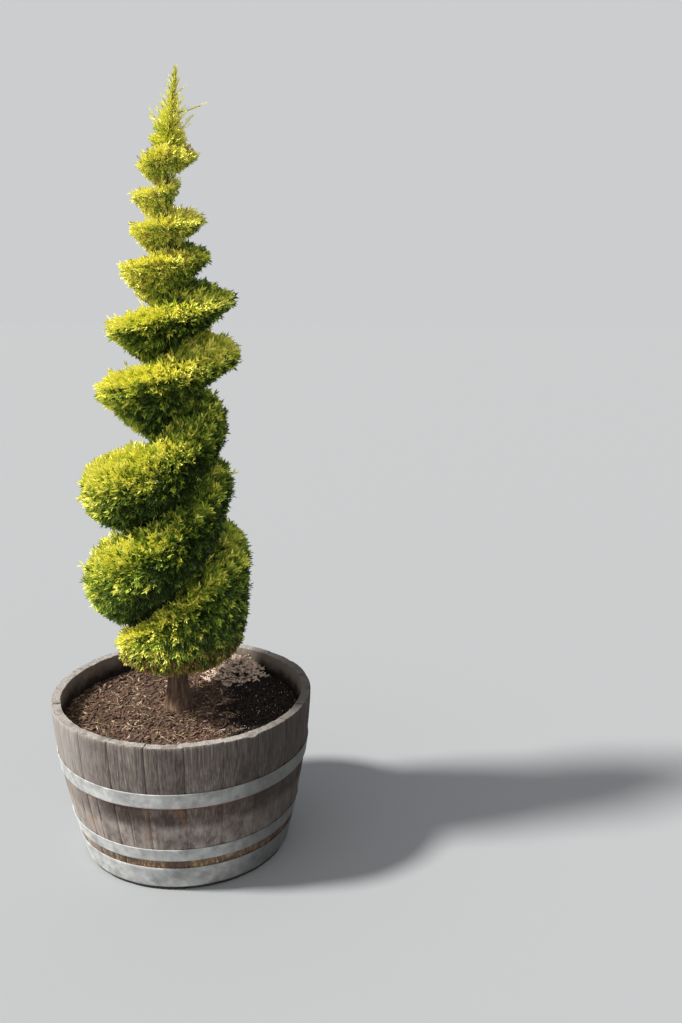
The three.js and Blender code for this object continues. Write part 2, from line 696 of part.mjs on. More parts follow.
function rampMass(name, from, to, sprigCount, seed) {
  const random = seededRandom(seed);
  const space = new RampSpace(from, to);
  const rim = BARREL_HEIGHT + rampHeight(space.middle);
  const stemStart = space.place(space.middle, 0, rim);
  const stemEnd = space.place(space.middle, space.reach * STEM_REACH_PART, rim);
  const stemRadius = Math.min(STEM_RADIUS, trunkRadius(rim) * STEM_TRUNK_PART);
  const stem = stickGeometry(stemStart, stemEnd, stemRadius, stemRadius * STEM_TAPER, STEM_SIDES);
  const pieces = [coreGeometry(space), stem];
  const length = space.depth * SPRIG_LENGTH_PART;
  for (let index = 0; index < sprigCount; index += 1) {
    for (let attempt = 0; attempt < SPRIG_TRIES; attempt += 1) {
      const { tip, axis, across } = rampSprig(space, index, sprigCount, random);
      tip.addScaledVector(axis, -1 - attempt);
      const grown = sprig(space, tip, axis, across, length);
      if (grown) {
        pieces.push(...grown);
        break;
      }
    }
  }
  return meshOf(name, outerShell(fuse(pieces).subtract(TRUNK_CLEARANCE)), NEEDLES);
}

function rampMasses() {
  const masses = [];
  for (const { from, to, masses: count, sprigs } of STRETCHES) {
    for (let index = 0; index < count; index += 1) {
      const start = THREE.MathUtils.lerp(from, to, index / count);
      const end = THREE.MathUtils.lerp(from, to, (index + 1) / count);
      const name = `foliage_${String(masses.length + 1).padStart(2, "0")}`;
      masses.push(rampMass(name, start, end, sprigs, FIRST_SEED + masses.length));
    }
  }
  return masses;
}

// The space round the leader, a slim cone about the trunk
const leaderSpace = {
  contains(point, margin = SPACE_MARGIN) {
    const centre = trunkCentre(point.z);
    const radius = Math.hypot(point.x - centre.x, point.y - centre.y);
    const isClear = radius > trunkRadius(point.z) + margin;
    const bottom = BARREL_HEIGHT + LEADER_SLEEVE[0].height;
    return isClear && point.z > bottom && point.z < TREE_TOP_Z;
  },
};

function sleeveGeometry() {
  const points = [];
  const rings = LEADER_SLEEVE.map(({ height, radius }) => ({ height: height + BARREL_HEIGHT, radius }));
  const inside = rings.map(({ height }) => {
    return { height, radius: trunkRadius(height) + SLEEVE_TRUNK_GAP };
  });
  for (let side = 0; side < SLEEVE_SIDES; side += 1) {
    const angle = (2 * Math.PI * side) / SLEEVE_SIDES;
    for (const { height, radius } of [...inside, ...rings.toReversed()]) {
      const centre = trunkCentre(height);
      const [x, y] = [centre.x + radius * Math.cos(angle), centre.y + radius * Math.sin(angle)];
      points.push(new THREE.Vector3(x, y, height));
    }
  }
  const size = 2 * rings.length;
  const triangles = [];
  for (let side = 0; side < SLEEVE_SIDES; side += 1) {
    for (let at = 0; at < size; at += 1) {
      const [near, next] = [side * size + at, side * size + ((at + 1) % size)];
      const shift = (((side + 1) % SLEEVE_SIDES) - side) * size;
      triangles.push([near, next, near + shift], [next, next + shift, near + shift]);
    }
  }
  return geometryOf(points, triangles);
}

function leaderMass() {
  const random = seededRandom(LEADER_SEED);
  const [first, last] = [LEADER_SLEEVE[0].height, LEADER_SLEEVE.at(-1).height];
  const shoots = Array.from({ length: LEADER_SPRIGS }, (_, index) => {
    const part = (index + 0.5) / LEADER_SPRIGS;
    const azimuth = LEADER_TURN * (index + LEADER_TURN_JITTER * random());
    const share = LEADER_LENGTH_LEAST + LEADER_LENGTH_SPREAD * random();
    return {
      height: THREE.MathUtils.lerp(first + LEADER_FOOT_GAP, last - LEADER_TIP_GAP, part),
      azimuth,
      length: THREE.MathUtils.lerp(LEADER_SPRIG_LOW, LEADER_SPRIG_HIGH, part) * share,
      pitch: THREE.MathUtils.lerp(LEADER_LOW_PITCH, LEADER_HIGH_PITCH, part),
    };
  });
  const stemHeight = BARREL_HEIGHT + first + LEADER_STEM.rise;
  const centre = trunkCentre(stemHeight);
  const stemStart = new THREE.Vector3(centre.x, centre.y, stemHeight);
  const stemReach = trunkRadius(stemHeight) + LEADER_STEM.length;
  const stemEnd = stemStart.clone().add(new THREE.Vector3(0, stemReach, 0));
  const stemTip = LEADER_STEM.radius * STEM_TAPER;
  const stem = stickGeometry(stemStart, stemEnd, LEADER_STEM.radius, stemTip, STEM_SIDES);
  const pieces = [sleeveGeometry(), stem];
  for (const { height, azimuth, length, pitch } of [...shoots, LONG_SHOOT]) {
    const z = BARREL_HEIGHT + height;
    const outward = new THREE.Vector3(Math.cos(azimuth), Math.sin(azimuth), 0);
    const axis = outward.clone().multiplyScalar(Math.cos(pitch));
    axis.z = Math.sin(pitch);
    const middle = trunkCentre(z);
    const root = new THREE.Vector3(middle.x, middle.y, z);
    root.addScaledVector(outward, trunkRadius(z) + SHOOT_ROOT_DEPTH);
    const tip = root.clone().addScaledVector(axis, length);
    const grown = sprig(leaderSpace, tip, axis, crosswise(axis, random), length);
    if (grown) pieces.push(...grown);
  }
  return meshOf("leader", outerShell(fuse(pieces).subtract(TRUNK_CLEARANCE)), NEEDLES);
}

const topiary = new THREE.Group();
topiary.add(...staves(), ...hoops(), headBoard(), soil());
topiary.add(meshOf("trunk", trunkGeometry(0), BARK));
topiary.add(...rampMasses(), leaderMass());

export default topiary;
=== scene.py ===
import copy
import math

import bpy
import numpy as np
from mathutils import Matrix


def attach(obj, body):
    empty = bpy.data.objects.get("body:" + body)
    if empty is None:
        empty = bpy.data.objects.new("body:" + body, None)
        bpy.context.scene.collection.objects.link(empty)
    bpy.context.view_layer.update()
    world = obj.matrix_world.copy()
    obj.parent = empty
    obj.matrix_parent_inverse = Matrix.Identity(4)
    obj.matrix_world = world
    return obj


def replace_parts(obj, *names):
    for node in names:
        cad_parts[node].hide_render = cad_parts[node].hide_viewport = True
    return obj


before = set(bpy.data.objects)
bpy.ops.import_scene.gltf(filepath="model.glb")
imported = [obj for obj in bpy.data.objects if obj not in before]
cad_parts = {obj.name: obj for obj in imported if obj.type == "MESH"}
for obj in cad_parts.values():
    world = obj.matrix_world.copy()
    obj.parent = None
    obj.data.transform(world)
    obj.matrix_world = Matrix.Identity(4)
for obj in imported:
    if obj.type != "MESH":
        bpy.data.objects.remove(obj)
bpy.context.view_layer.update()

# Sizes are in millimetres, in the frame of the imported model, and go to metres when a mesh is made
MM = 0.001

# Barrel, as the source builds it
BARREL_HEIGHT = 420.0
RIM_RADIUS = 335.0
FOOT_RADIUS = 265.0
BILGE_POWER = 1.58
STAVE_COUNT = 22
STAVE_THICKNESS = 25.0
STAVE_JOINT = 0.4
CHIME_BEVEL = 8.0
CLEARANCE = 0.3
HOOP_THICKNESS = 2.4
HOOP_EDGES = {"hoop_upper": (126.0, 166.0), "hoop_middle": (291.0, 326.0), "hoop_foot": (350.0, 410.0)}
HEAD_UNDERSIDE = 36.0
HEAD_TOP = 60.0
GROOVE_DEPTH = 5.0
SOIL_WALL_GAP = 0.4
SOIL_LEVEL = BARREL_HEIGHT - 56.0
FOOT_OFFSET_X = -12.0
# Heaps on the level soil: x, y, rise, radius of the flat top and reach
ROOT_BALL = (FOOT_OFFSET_X, 0.0, 8.0, 62.0, 190.0)
MULCH_HEAP = (118.0, 228.0, 36.0, 20.0, 115.0)

# Trunk
TRUNK_FOOT = SOIL_LEVEL + ROOT_BALL[2] + CLEARANCE
TREE_TOP = 1940.0
TRUNK_FOOT_RADIUS = 24.0
TRUNK_TIP_RADIUS = 1.6
TRUNK_TAPER_POWER = 0.9
FLARE_RADIUS = 15.0
FLARE_HEIGHT = 38.0
LEAN_PER_METRE = 14.0
LEADER_BEND_START = 1650.0
LEADER_BEND = 34.0
LEADER_BEND_POWER = 1.4
SWAY_Y = 5.0

# Ramp: height above the rim and reach from the trunk, at its start, each turn's left and right, and its end
RAMP_HEIGHTS = np.array([
    126, 137, 345, 304, 552, 538, 700, 781, 870, 928,
    1000, 1071, 1102, 1158, 1180, 1233, 1260, 1303, 1322, 1350,
], float)
RAMP_REACHES = np.array([
    140, 155, 194, 228, 148, 230, 140, 180, 172, 147,
    159, 111, 105, 84, 93, 76, 36, 66, 72, 34,
], float)
FIRST_KEY_TURN = -0.5
LEFT_AZIMUTH = math.radians(188.9)
RAMP_FIRST_TURN = -0.25
RAMP_LAST_TURN = 8.9
SKIRT_BOTTOM = 77.0
FIRST_COVERED_TURN = 0.75
# Sections: power and rounding
BLUNT_SECTION = (3.8, 0.62)
POINTED_SECTION = (2.1, 0.95)
CONE_SECTION = (1.5, 1.1)
SKIRT_SECTION = (7.0, 0.5)
BLUNT_TO_POINTED = (2.0, 4.5)
BLUNT_TO_CONE = (2.0, 2.9)
CONE_TO_POINTED = (3.2, 4.5)
RISE_TURNS = np.array([0.4, 0.6, 1.1, 1.4, 1.7, 2, 2.4, 3, 4.5])
RISE_SHARES = np.array([0.2, 0.45, 0.5, 0.3, 0.4, 0.39, 0.42, 0.35, 0.3])
RIM_FRACTION = 0.14
TURN_GAP = 1.5
LEAST_RISE = 6.0
TOP_TURN = (7.92, 8.08)
TOP_TURN_HEIGHT = 1354.0
FOLIAGE_DEPTH = 28.0
FOLIAGE_DEPTH_PART = 0.2
SPRIG_PITCH = 0.95
SPRIG_LIFT = 0.12
PITCH_JITTER = 0.3
SIDEWAYS_JITTER = 0.7

MASSES = [f"foliage_{index:02d}" for index in range(1, 30)]


# Small tools for arrays

UP = np.array([0, 0, 1.0])
NEARLY_UPRIGHT = 0.9


def lerp(start, end, part):
    return start + (end - start) * part


def smooth_step(value, low, high):
    part = np.clip((value - low) / (high - low), 0, 1)
    return part * part * (3 - 2 * part)


def unit(vectors):
    return vectors / np.maximum(np.linalg.norm(vectors, axis=-1, keepdims=True), 1e-9)


def angles_round(count):
    return np.arange(count) * 2 * np.pi / count


def polar(angle, radius, height):
    """Points at an angle and a radius about the row frame's upright axis."""
    return np.stack([radius * np.cos(angle), radius * np.sin(angle), height + 0 * angle], axis=-1)


def upright(length):
    """Vectors straight up, each of its own length."""
    return np.stack([0 * length, 0 * length, length], axis=-1)


def curve_through(values, place):
    """The uniform Catmull-Rom curve through the values, at places counted in values."""
    last = len(values) - 1
    place = np.clip(place, 0, last)
    index = np.minimum(place.astype(int), last - 1)
    part = place - index
    before, start = values[np.maximum(index - 1, 0)], values[index]
    end, after = values[index + 1], values[np.minimum(index + 2, last)]
    leave, arrive = (end - before) / 2, (after - start) / 2
    cubic = (2 * start - 2 * end + leave + arrive) * part ** 3
    square = (3 * end - 3 * start - 2 * leave - arrive) * part ** 2
    return cubic + square + leave * part + start


class Patches:
    """Smooth noise from about -1 to 1 in space, with patches of about one size."""

    WAVES = 14
    LENGTHS = (0.7, 1.6)
    MOST = 1.6

    def __init__(self, size, seed, stretch=(1, 1, 1)):
        random = np.random.default_rng(seed)
        lengths = size * random.uniform(*self.LENGTHS, (self.WAVES, 1))
        self.waves = unit(random.normal(size=(self.WAVES, 3))) * 2 * np.pi / lengths / np.array(stretch)
        self.phases = random.uniform(0, 2 * np.pi, self.WAVES)

    def __call__(self, points):
        waves = np.sin(points @ self.waves.T + self.phases)
        return np.clip(waves.sum(axis=-1) / math.sqrt(self.WAVES), -self.MOST, self.MOST)


def one_per_cell(points, cell, random):
    """Indices of points, one picked at random from each cell of a grid, so that they lie evenly."""
    order = random.permutation(len(points))
    keys = np.floor(points[order] / cell).astype(np.int64)
    _, first = np.unique(keys, axis=0, return_index=True)
    return order[first]


def nearest(points, places, batch=4000):
    """For each point the index of the nearest place."""
    squares = (places ** 2).sum(axis=1)
    batches = [points[at:at + batch] for at in range(0, len(points), batch)]
    return np.concatenate([np.argmin(squares - 2 * part @ places.T, axis=1) for part in batches])


# Pieces

def piece_of(name, points, faces, materials, slot, smooth=True, face_materials=None):
    """A piece that rides on the body, from points in millimetres and one or more arrays of faces."""
    mesh = bpy.data.meshes.new(name)
    arrays = faces if isinstance(faces, list) else [faces]
    corners = np.concatenate([array.ravel() for array in arrays])
    counts = np.concatenate([np.full(len(array), array.shape[1]) for array in arrays])
    mesh.vertices.add(len(points))
    mesh.vertices.foreach_set("co", (points * MM).astype(np.float32).ravel())
    mesh.loops.add(len(corners))
    mesh.loops.foreach_set("vertex_index", corners.astype(np.int32))
    mesh.polygons.add(len(counts))
    mesh.polygons.foreach_set("loop_start", (np.cumsum(counts) - counts).astype(np.int32))
    mesh.polygons.foreach_set("use_smooth", np.full(len(counts), smooth))
    if face_materials is not None:
        mesh.polygons.foreach_set("material_index", face_materials.astype(np.int32))
    for material in materials:
        mesh.materials.append(material)
    mesh.update(calc_edges=True)
    made = bpy.data.objects.new(name, mesh)
    bpy.context.scene.collection.objects.link(made)
    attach(made, "root")
    return made


def grid_faces(rows, columns, wraps=False):
    """Corner indices of the four-sided faces of a grid of points, row by row."""
    across = columns if wraps else columns - 1
    row, column = np.meshgrid(np.arange(rows - 1), np.arange(across), indexing="ij")
    near = (row * columns + column).ravel()
    beside = (row * columns + (column + 1) % columns).ravel()
    return np.stack([near, beside, beside + columns, near + columns], axis=1)


def copied_faces(faces, count, corners):
    """The faces of many like shapes in a row, each with its own corners."""
    return (faces[None] + (np.arange(count) * corners)[:, None, None]).reshape(-1, faces.shape[1])


def bent(starts, ends, bends, parts):
    """Places along sticks that are bent towards their own offset at the middle."""
    return lerp(starts, ends, parts) + bends * (4 * parts * (1 - parts))


def tubes(starts, ends, start_radii, end_radii, bends, sides, rings):
    """Points and triangles of many tapering bent sticks at once."""
    axes = unit(ends - starts)
    helper = np.where(np.abs(axes[:, 2:]) > NEARLY_UPRIGHT, [[1.0, 0, 0]], [UP])
    across = unit(np.cross(helper, axes))
    upward = np.cross(axes, across)
    parts = np.linspace(0, 1, rings)[None, :, None]
    centres = bent(starts[:, None], ends[:, None], bends[:, None], parts)
    radii = lerp(np.reshape(start_radii, (-1, 1, 1)), np.reshape(end_radii, (-1, 1, 1)), parts)
    angles = angles_round(sides)[None, :, None]
    ring = across[:, None] * np.cos(angles) + upward[:, None] * np.sin(angles)
    points = centres[:, :, None] + ring[:, None] * radii[:, :, None]
    quads = grid_faces(rings, sides, wraps=True)
    tip = (rings - 1) * sides
    cap = np.array([[tip, tip + side, tip + side + 1] for side in range(1, sides - 1)])
    triangles = np.concatenate([quads[:, [0, 1, 2]], quads[:, [0, 2, 3]], cap])
    return points.reshape(-1, 3), copied_faces(triangles, len(starts), rings * sides)


def joined(parts):
    """Several (points, faces) pairs as one pair."""
    offset, points, faces = 0, [], []
    for some_points, some_faces in parts:
        points.append(some_points)
        faces.append(some_faces + offset)
        offset += len(some_points)
    return np.concatenate(points), np.concatenate(faces)


# Materials

def linear(colour):
    """A shader colour from a hexadecimal one."""
    channels = [int(colour[at:at + 2], 16) / 255 for at in (1, 3, 5)]
    return [c / 12.92 if c <= 0.04045 else ((c + 0.055) / 1.055) ** 2.4 for c in channels] + [1.0]


class Shader:
    """A material whose nodes are added one by one."""

    def __init__(self, name, roughness, metallic=0.0, specular=0.2):
        self.material = bpy.data.materials.new(name)
        self.material.use_nodes = True
        self.nodes = self.material.node_tree.nodes
        self.links = self.material.node_tree.links
        self.surface = self.nodes["Principled BSDF"]
        self.surface.inputs["Roughness"].default_value = roughness
        self.surface.inputs["Metallic"].default_value = metallic
        self.surface.inputs["Specular IOR Level"].default_value = specular

    def feed(self, socket, value):
        if hasattr(value, "is_linked"):
            self.links.new(value, socket)
        else:
            socket.default_value = value

    def node(self, kind, inputs=None, **settings):
        made = self.nodes.new(kind)
        for name, value in settings.items():
            setattr(made, name, value)
        for name, value in (inputs or {}).items():
            self.feed(made.inputs[name], value)
        return made

    def place(self, scale):
        """Places in the row frame in metres, stretched along the axes."""
        source = self.node("ShaderNodeTexCoord").outputs["Object"]
        return self.node("ShaderNodeMapping", {"Vector": source, "Scale": scale}).outputs["Vector"]

    def along(self, axis):
        """The place along one axis of the row frame in metres."""
        source = self.node("ShaderNodeTexCoord").outputs["Object"]
        return self.node("ShaderNodeSeparateXYZ", {"Vector": source}).outputs[axis]

    def noise(self, scale, detail=5.0, roughness=0.6, stretch=(1, 1, 1), distortion=0.0):
        inputs = {"Vector": self.place(stretch), "Scale": scale, "Detail": detail, "Roughness": roughness,
                  "Distortion": distortion}
        return self.node("ShaderNodeTexNoise", inputs).outputs["Fac"]

    def ramp(self, value, *stops):
        """Colours at places from 0 to 1."""
        made = self.node("ShaderNodeValToRGB", {"Fac": value})
        elements = made.color_ramp.elements
        while len(elements) < len(stops):
            elements.new(0.5)
        for element, (place, colour) in zip(elements, stops):
            element.position = place
            element.color = linear(colour)
        return made.outputs["Color"]

    def window(self, value, low, high):
        """From 0 at low to 1 at high."""
        inputs = {"Value": value, "From Min": low, "From Max": high}
        return self.node("ShaderNodeMapRange", inputs, interpolation_type="SMOOTHSTEP").outputs["Result"]

    def maths(self, operation, first, second):
        made = self.node("ShaderNodeMath", operation=operation)
        for socket, value in zip(made.inputs, (first, second)):
            self.feed(socket, value)
        return made.outputs["Value"]

    def times(self, first, second):
        return self.maths("MULTIPLY", first, second)

    def mix(self, share, first, second):
        made = self.node("ShaderNodeMix", data_type="RGBA")
        values = {"Factor_Float": share, "A_Color": first, "B_Color": second}
        for socket in made.inputs:
            if socket.identifier in values:
                self.feed(socket, values[socket.identifier])
        return next(item for item in made.outputs if item.identifier == "Result_Color")

    def stained_and_shaded(self, base, *stains_and_shade):
        """The base with more colours, each up to a share where its mask is 1, for marks and for painted light
        and shade.
        """
        for share, mask, colour in stains_and_shade:
            base = self.mix(self.times(mask, share), base, linear(colour))
        return base

    def band(self, low, high, soft):
        """1 between two heights in metres and 0 away from them."""
        rise = self.window(self.along("Z"), low - soft, low)
        fall = self.window(self.along("Z"), high + soft, high)
        return self.times(rise, fall)

    def side(self, from_x, to_x):
        """0 up to one place across the tub in metres and 1 from another on."""
        return self.window(self.along("X"), from_x, to_x)

    def colour(self, value):
        self.feed(self.surface.inputs["Base Color"], value)
        return self

    def bump(self, value, strength, distance):
        made = self.node("ShaderNodeBump", {"Height": value, "Strength": strength, "Distance": distance})
        self.feed(self.surface.inputs["Normal"], made.outputs["Normal"])
        return self.material


# Bands of the staves by height and sides of the tub by x, in metres
FADED_BAND = (0.10, 0.19, 0.04)
WET_BAND = (0.212, 0.262, 0.03)
WARM_BAND = (0.16, 0.24, 0.03)
RUST_BAND = (0.2495, 0.2545, 0.003)
STAINED_BAND = (0.066, 0.098, 0.006)
GOLDEN_BAND = (0.072, 0.0935, 0.004)
DAMP_FOOT = (0.035, 0.0)
# Sides of the tub: painted light on the left, and painted shade on the right of the staves, the rim and the
# steel
PAINTED_LIGHT_SIDE = (-0.12, -0.3)
PAINTED_SHADE_SIDE = (0.08, 0.26)
PAINTED_SHADE_RIM = (0.15, 0.31)
PAINTED_SHADE_STEEL_SIDE = (0.02, 0.25)
WASHED_TOP = (0.395, 0.435)
BLACK_SOIL_AND_SHADE_SIDE = (0.13, 0.22)


def weathered_oak(name, pale, dark, seed):
    """Grey oak with upright grain, dark smudges, worn patches, rust below the hoops, painted light on the
    left of the tub and painted shade on its right.
    """
    shader = Shader(name, roughness=0.85, specular=0.18)
    grain = shader.noise(330, stretch=(1, 1, 0.018))
    streaks = shader.noise(60 + seed, stretch=(1, 1, 0.05))
    smudges = shader.noise(8 + 0.7 * seed, roughness=0.65, stretch=(1, 1, 0.75))
    worn = shader.noise(13 + 0.5 * seed, stretch=(1, 1, 0.4))
    patches = shader.noise(30, roughness=0.65, stretch=(1, 1, 0.6))
    golden = shader.times(shader.window(grain, 0.44, 0.6), shader.window(patches, 0.36, 0.66))
    foot = shader.maths("SUBTRACT", shader.along("Z"), shader.times(streaks, 0.03))
    wood = shader.stained_and_shaded(
        shader.ramp(grain, (0.34, dark), (0.5, "#645b56"), (0.66, pale)),
        (0.4, shader.window(worn, 0.5, 0.75), "#8a7f78"),
        (0.5, shader.window(streaks, 0.47, 0.7), "#3f3733"),
        (0.6, shader.window(smudges, 0.5, 0.7), "#2b2522"),
        (0.7, shader.times(shader.band(*FADED_BAND), shader.window(patches, 0.3, 0.7)), "#a89d94"),
        (0.75, shader.times(shader.band(*WET_BAND), shader.window(smudges, 0.3, 0.55)), "#33261f"),
        (0.4, shader.times(shader.band(*WARM_BAND), shader.window(worn, 0.52, 0.66)), "#8f6a4c"),
        (0.55, shader.band(*RUST_BAND), "#6b4030"),
        (0.7, shader.band(*STAINED_BAND), "#574230"),
        (0.9, shader.times(shader.band(*GOLDEN_BAND), golden), "#b8946a"),
        (0.7, shader.window(foot, *DAMP_FOOT), "#241f1b"),
        # Painted light on the left side of the tub
        (0.4, shader.side(*PAINTED_LIGHT_SIDE), "#b4aea8"),
        # Painted shade on the right side of the tub
        (0.7, shader.side(*PAINTED_SHADE_SIDE), "#2d2926"),
    )
    return shader.colour(wood).bump(shader.maths("ADD", grain, shader.times(streaks, 0.6)), 0.4, 0.0012)


def sawn_oak():
    shader = Shader("sawn_oak", roughness=0.82)
    specks = shader.noise(330, roughness=0.7)
    patches = shader.noise(26, detail=4)
    wood = shader.ramp(specks, (0.34, "#625c57"), (0.52, "#908a84"), (0.7, "#b3ada7"))
    # Painted shade on the right of the rim
    stains_and_shade = [(0.6, shader.window(patches, 0.46, 0.7), "#524b46"), (0.7, shader.side(*PAINTED_SHADE_RIM), "#37322e")]
    wood = shader.stained_and_shaded(wood, *stains_and_shade)
    return shader.colour(wood).bump(specks, 0.5, 0.0012)


def charred_oak():
    shader = Shader("charred_oak", roughness=0.9)
    scales = shader.node("ShaderNodeTexVoronoi", {"Vector": shader.place((1, 1, 0.5)), "Scale": 90.0})
    soot = shader.noise(60, roughness=0.55)
    char = shader.ramp(soot, (0.3, "#141211"), (0.55, "#26211e"), (0.8, "#453c35"))
    ragged = shader.times(shader.noise(28, detail=4, roughness=0.55), 0.05)
    washed = shader.window(shader.maths("ADD", shader.along("Z"), ragged), *WASHED_TOP)
    char = shader.stained_and_shaded(char, (0.75, washed, "#857a6f"))
    return shader.colour(char).bump(scales.outputs["Distance"], 0.6, 0.003)


def head_oak():
    """Boards side by side, for the head that closes the cask."""
    shader = Shader("head_oak", roughness=0.85)
    grain = shader.noise(160, stretch=(0.05, 1, 1))
    wood = shader.ramp(grain, (0.3, "#4d433b"), (0.55, "#6f645b"), (0.75, "#8d837a"))
    boards = {"Vector": shader.place((1, 1, 1)), "Scale": 3.1, "Distortion": 0.0}
    saw = shader.node("ShaderNodeTexWave", boards, bands_direction="Y", wave_profile="SAW").outputs["Fac"]
    seam = shader.window(saw, 0.96, 0.99)
    wood = shader.mix(seam, wood, linear("#1b1613"))
    return shader.colour(wood).bump(shader.maths("SUBTRACT", grain, seam), 0.5, 0.003)


def galvanised_steel():
    shader = Shader("galvanised_steel", roughness=0.6, metallic=0.15, specular=0.4)
    spangle = shader.noise(38, detail=6)
    blooms = shader.noise(11, roughness=0.7)
    steel = shader.ramp(spangle, (0.3, "#8f9190"), (0.5, "#aeafad"), (0.72, "#c6c7c4"))
    rust = shader.window(shader.noise(70, detail=7, roughness=0.72), 0.62, 0.72)
    # The right side of the hoops is darkened with painted shade
    steel = shader.stained_and_shaded(
        steel,
        (0.6, shader.window(blooms, 0.46, 0.74), "#6b6a66"),
        (0.7, rust, "#7b4a2c"),
        (0.8, shader.side(*PAINTED_SHADE_STEEL_SIDE), "#3f413d"),
    )
    dull = shader.node("ShaderNodeMapRange", {"Value": spangle, "To Min": 0.5, "To Max": 0.72})
    shader.feed(shader.surface.inputs["Roughness"], dull.outputs["Result"])
    return shader.colour(steel).bump(spangle, 0.18, 0.0008)


def bark_material():
    shader = Shader("bark", roughness=0.9)
    flakes = shader.noise(150, detail=6, roughness=0.65, stretch=(1, 1, 0.16), distortion=0.5)
    patches = shader.noise(30, detail=4, roughness=0.55, stretch=(1, 1, 0.4))
    bark = shader.ramp(flakes, (0.3, "#33271f"), (0.5, "#5f4a3b"), (0.72, "#8a725f"))
    bark = shader.stained_and_shaded(bark, (0.5, shader.window(patches, 0.5, 0.75), "#7f776c"))
    return shader.colour(bark).bump(flakes, 0.6, 0.0018)


def twig_material():
    shader = Shader("twig_bark", roughness=0.85)
    flakes = shader.noise(260, detail=4, roughness=0.55, stretch=(1, 1, 0.5))
    shader.colour(shader.ramp(flakes, (0.3, "#3d2b1d"), (0.6, "#6a4e34"), (0.8, "#8c6d48")))
    return shader.bump(flakes, 0.3, 0.0006)


def compost_material():
    """Red-brown mulch in front and on the left, black soil on the right, its darkness partly painted shade.
    """
    shader = Shader("compost", roughness=0.95, specular=0.15)
    crumbs = shader.noise(130, detail=7, roughness=0.7)
    mulch = shader.ramp(crumbs, (0.32, "#261c16"), (0.52, "#4f3b2f"), (0.72, "#77604f"))
    soil = shader.ramp(crumbs, (0.35, "#0f0d0b"), (0.55, "#241e19"), (0.78, "#40362d"))
    # Black soil on the right: partly the soil's own colour, partly painted shade where the plant's shadow
    # falls
    ragged = shader.times(shader.noise(14, detail=4, roughness=0.55), 0.16)
    black = shader.window(shader.maths("ADD", shader.along("X"), ragged), *BLACK_SOIL_AND_SHADE_SIDE)
    return shader.colour(shader.mix(black, mulch, soil)).bump(crumbs, 0.9, 0.006)


def plain_material(name, colour, roughness, specular):
    return Shader(name, roughness=roughness, specular=specular).colour(linear(colour)).material


def speckled_material(name, dark, pale):
    shader = Shader(name, roughness=0.9)
    specks = shader.noise(180, roughness=0.65)
    return shader.colour(shader.ramp(specks, (0.3, dark), (0.7, pale))).bump(specks, 0.4, 0.001)


# Barrel

# Pale and dark grain and the seed of the staves' kinds of oak
OAKS = [
    ("weathered_oak_a", "#837b75", "#4c4541", 1), ("weathered_oak_b", "#7b726c", "#453e3a", 4),
    ("weathered_oak_c", "#8a827b", "#534c47", 7), ("weathered_oak_d", "#736a64", "#403935", 10),
]
STAVE_COLUMNS = 38
STAVE_ROWS = 58
RIM_ROWS = 7
STAVE_SEED = 500
RELIEF_SEED = 900
EDGE_EASE = 2.6
EDGE_EASE_WIDTH = 2.4
STAVE_CROWN = 1.2
GRAIN_RELIEF = 0.55
RIM_WEAR = 2.4
RIM_WEAR_DEPTH = 7.0
RIM_WEAR_PARTS = (0.35, 0.7, 0.92)
RIM_EDGE_WIDTH = 1.2
RIM_EDGE_DEPTH = 1.5
RIM_UNEVENNESS = 1.6
WALL_HEIGHTS = (405, 390, 372, 250, 120)
# Saw marks on the rim
SAW_SIZE = 18.0
SAW_SEED = 40
SAW_RELIEF = 0.7
# The chip out of the rim
CHIP_AZIMUTH = math.radians(-52)
CHIP_WIDTH = 15.0
CHIP_DEPTH = 7.0
CHIP_INSET = 16.0
CHIP_HEIGHTS = (BARREL_HEIGHT - 12, BARREL_HEIGHT - 2)
# Zones round a stave's section, each with its own look
FACE, RIM, WALL = range(3)
ZONE_RELIEF = np.array([1, 0.5, 0])
STAVE_SHARP_ANGLE = math.radians(38)


def stave_outer_radius(height):
    below = np.maximum(BARREL_HEIGHT - height, 0) / BARREL_HEIGHT
    return RIM_RADIUS - (RIM_RADIUS - FOOT_RADIUS) * below ** BILGE_POWER


class StaveRelief:
    """How far the weathered face of one stave lies inside its sawn size, by place across and height."""

    WAVES = 9
    WAVE_WIDTHS = (5, 22)
    WAVE_HEIGHTS = (120, 420)
    CRACKS = (2, 6)
    CRACK_PLACES = (0.12, 0.88)
    CRACK_LENGTHS = (50, 170)
    CRACK_DEPTHS = (1.0, 2.3)
    CRACK_WIDTH = 1.5
    WANDER = 1.6
    WANDER_LENGTH = 38

    def __init__(self, seed, width):
        random = np.random.default_rng(seed)
        phases = (0, 2 * np.pi)
        waves = (self.WAVE_WIDTHS, self.WAVE_HEIGHTS, phases)
        cracks = (self.CRACK_PLACES, (0, BARREL_HEIGHT), self.CRACK_LENGTHS, self.CRACK_DEPTHS, phases)
        self.width = width
        self.waves = [[random.uniform(*span) for span in waves] for _ in range(self.WAVES)]
        count = random.integers(*self.CRACKS)
        self.cracks = [[random.uniform(*span) for span in cracks] for _ in range(count)]

    def __call__(self, across, height):
        grain = sum(np.sin(2 * np.pi * across / wide + np.sin(2 * np.pi * height / tall + phase) + phase)
                    for wide, tall, phase in self.waves) / 3
        depth = GRAIN_RELIEF * (1 + grain) / 2
        for place, middle, length, deep, phase in self.cracks:
            away = across - place * self.width - self.WANDER * np.sin(height / self.WANDER_LENGTH + phase)
            window = np.exp(-((height - middle) / length) ** 4)
            depth = depth + deep * window * np.exp(-(away / self.CRACK_WIDTH) ** 2)
        edge = np.minimum(across, self.width - across)
        depth = depth + EDGE_EASE * np.exp(-edge / EDGE_EASE_WIDTH)
        return depth + STAVE_CROWN * (2 * across / self.width - 1) ** 2


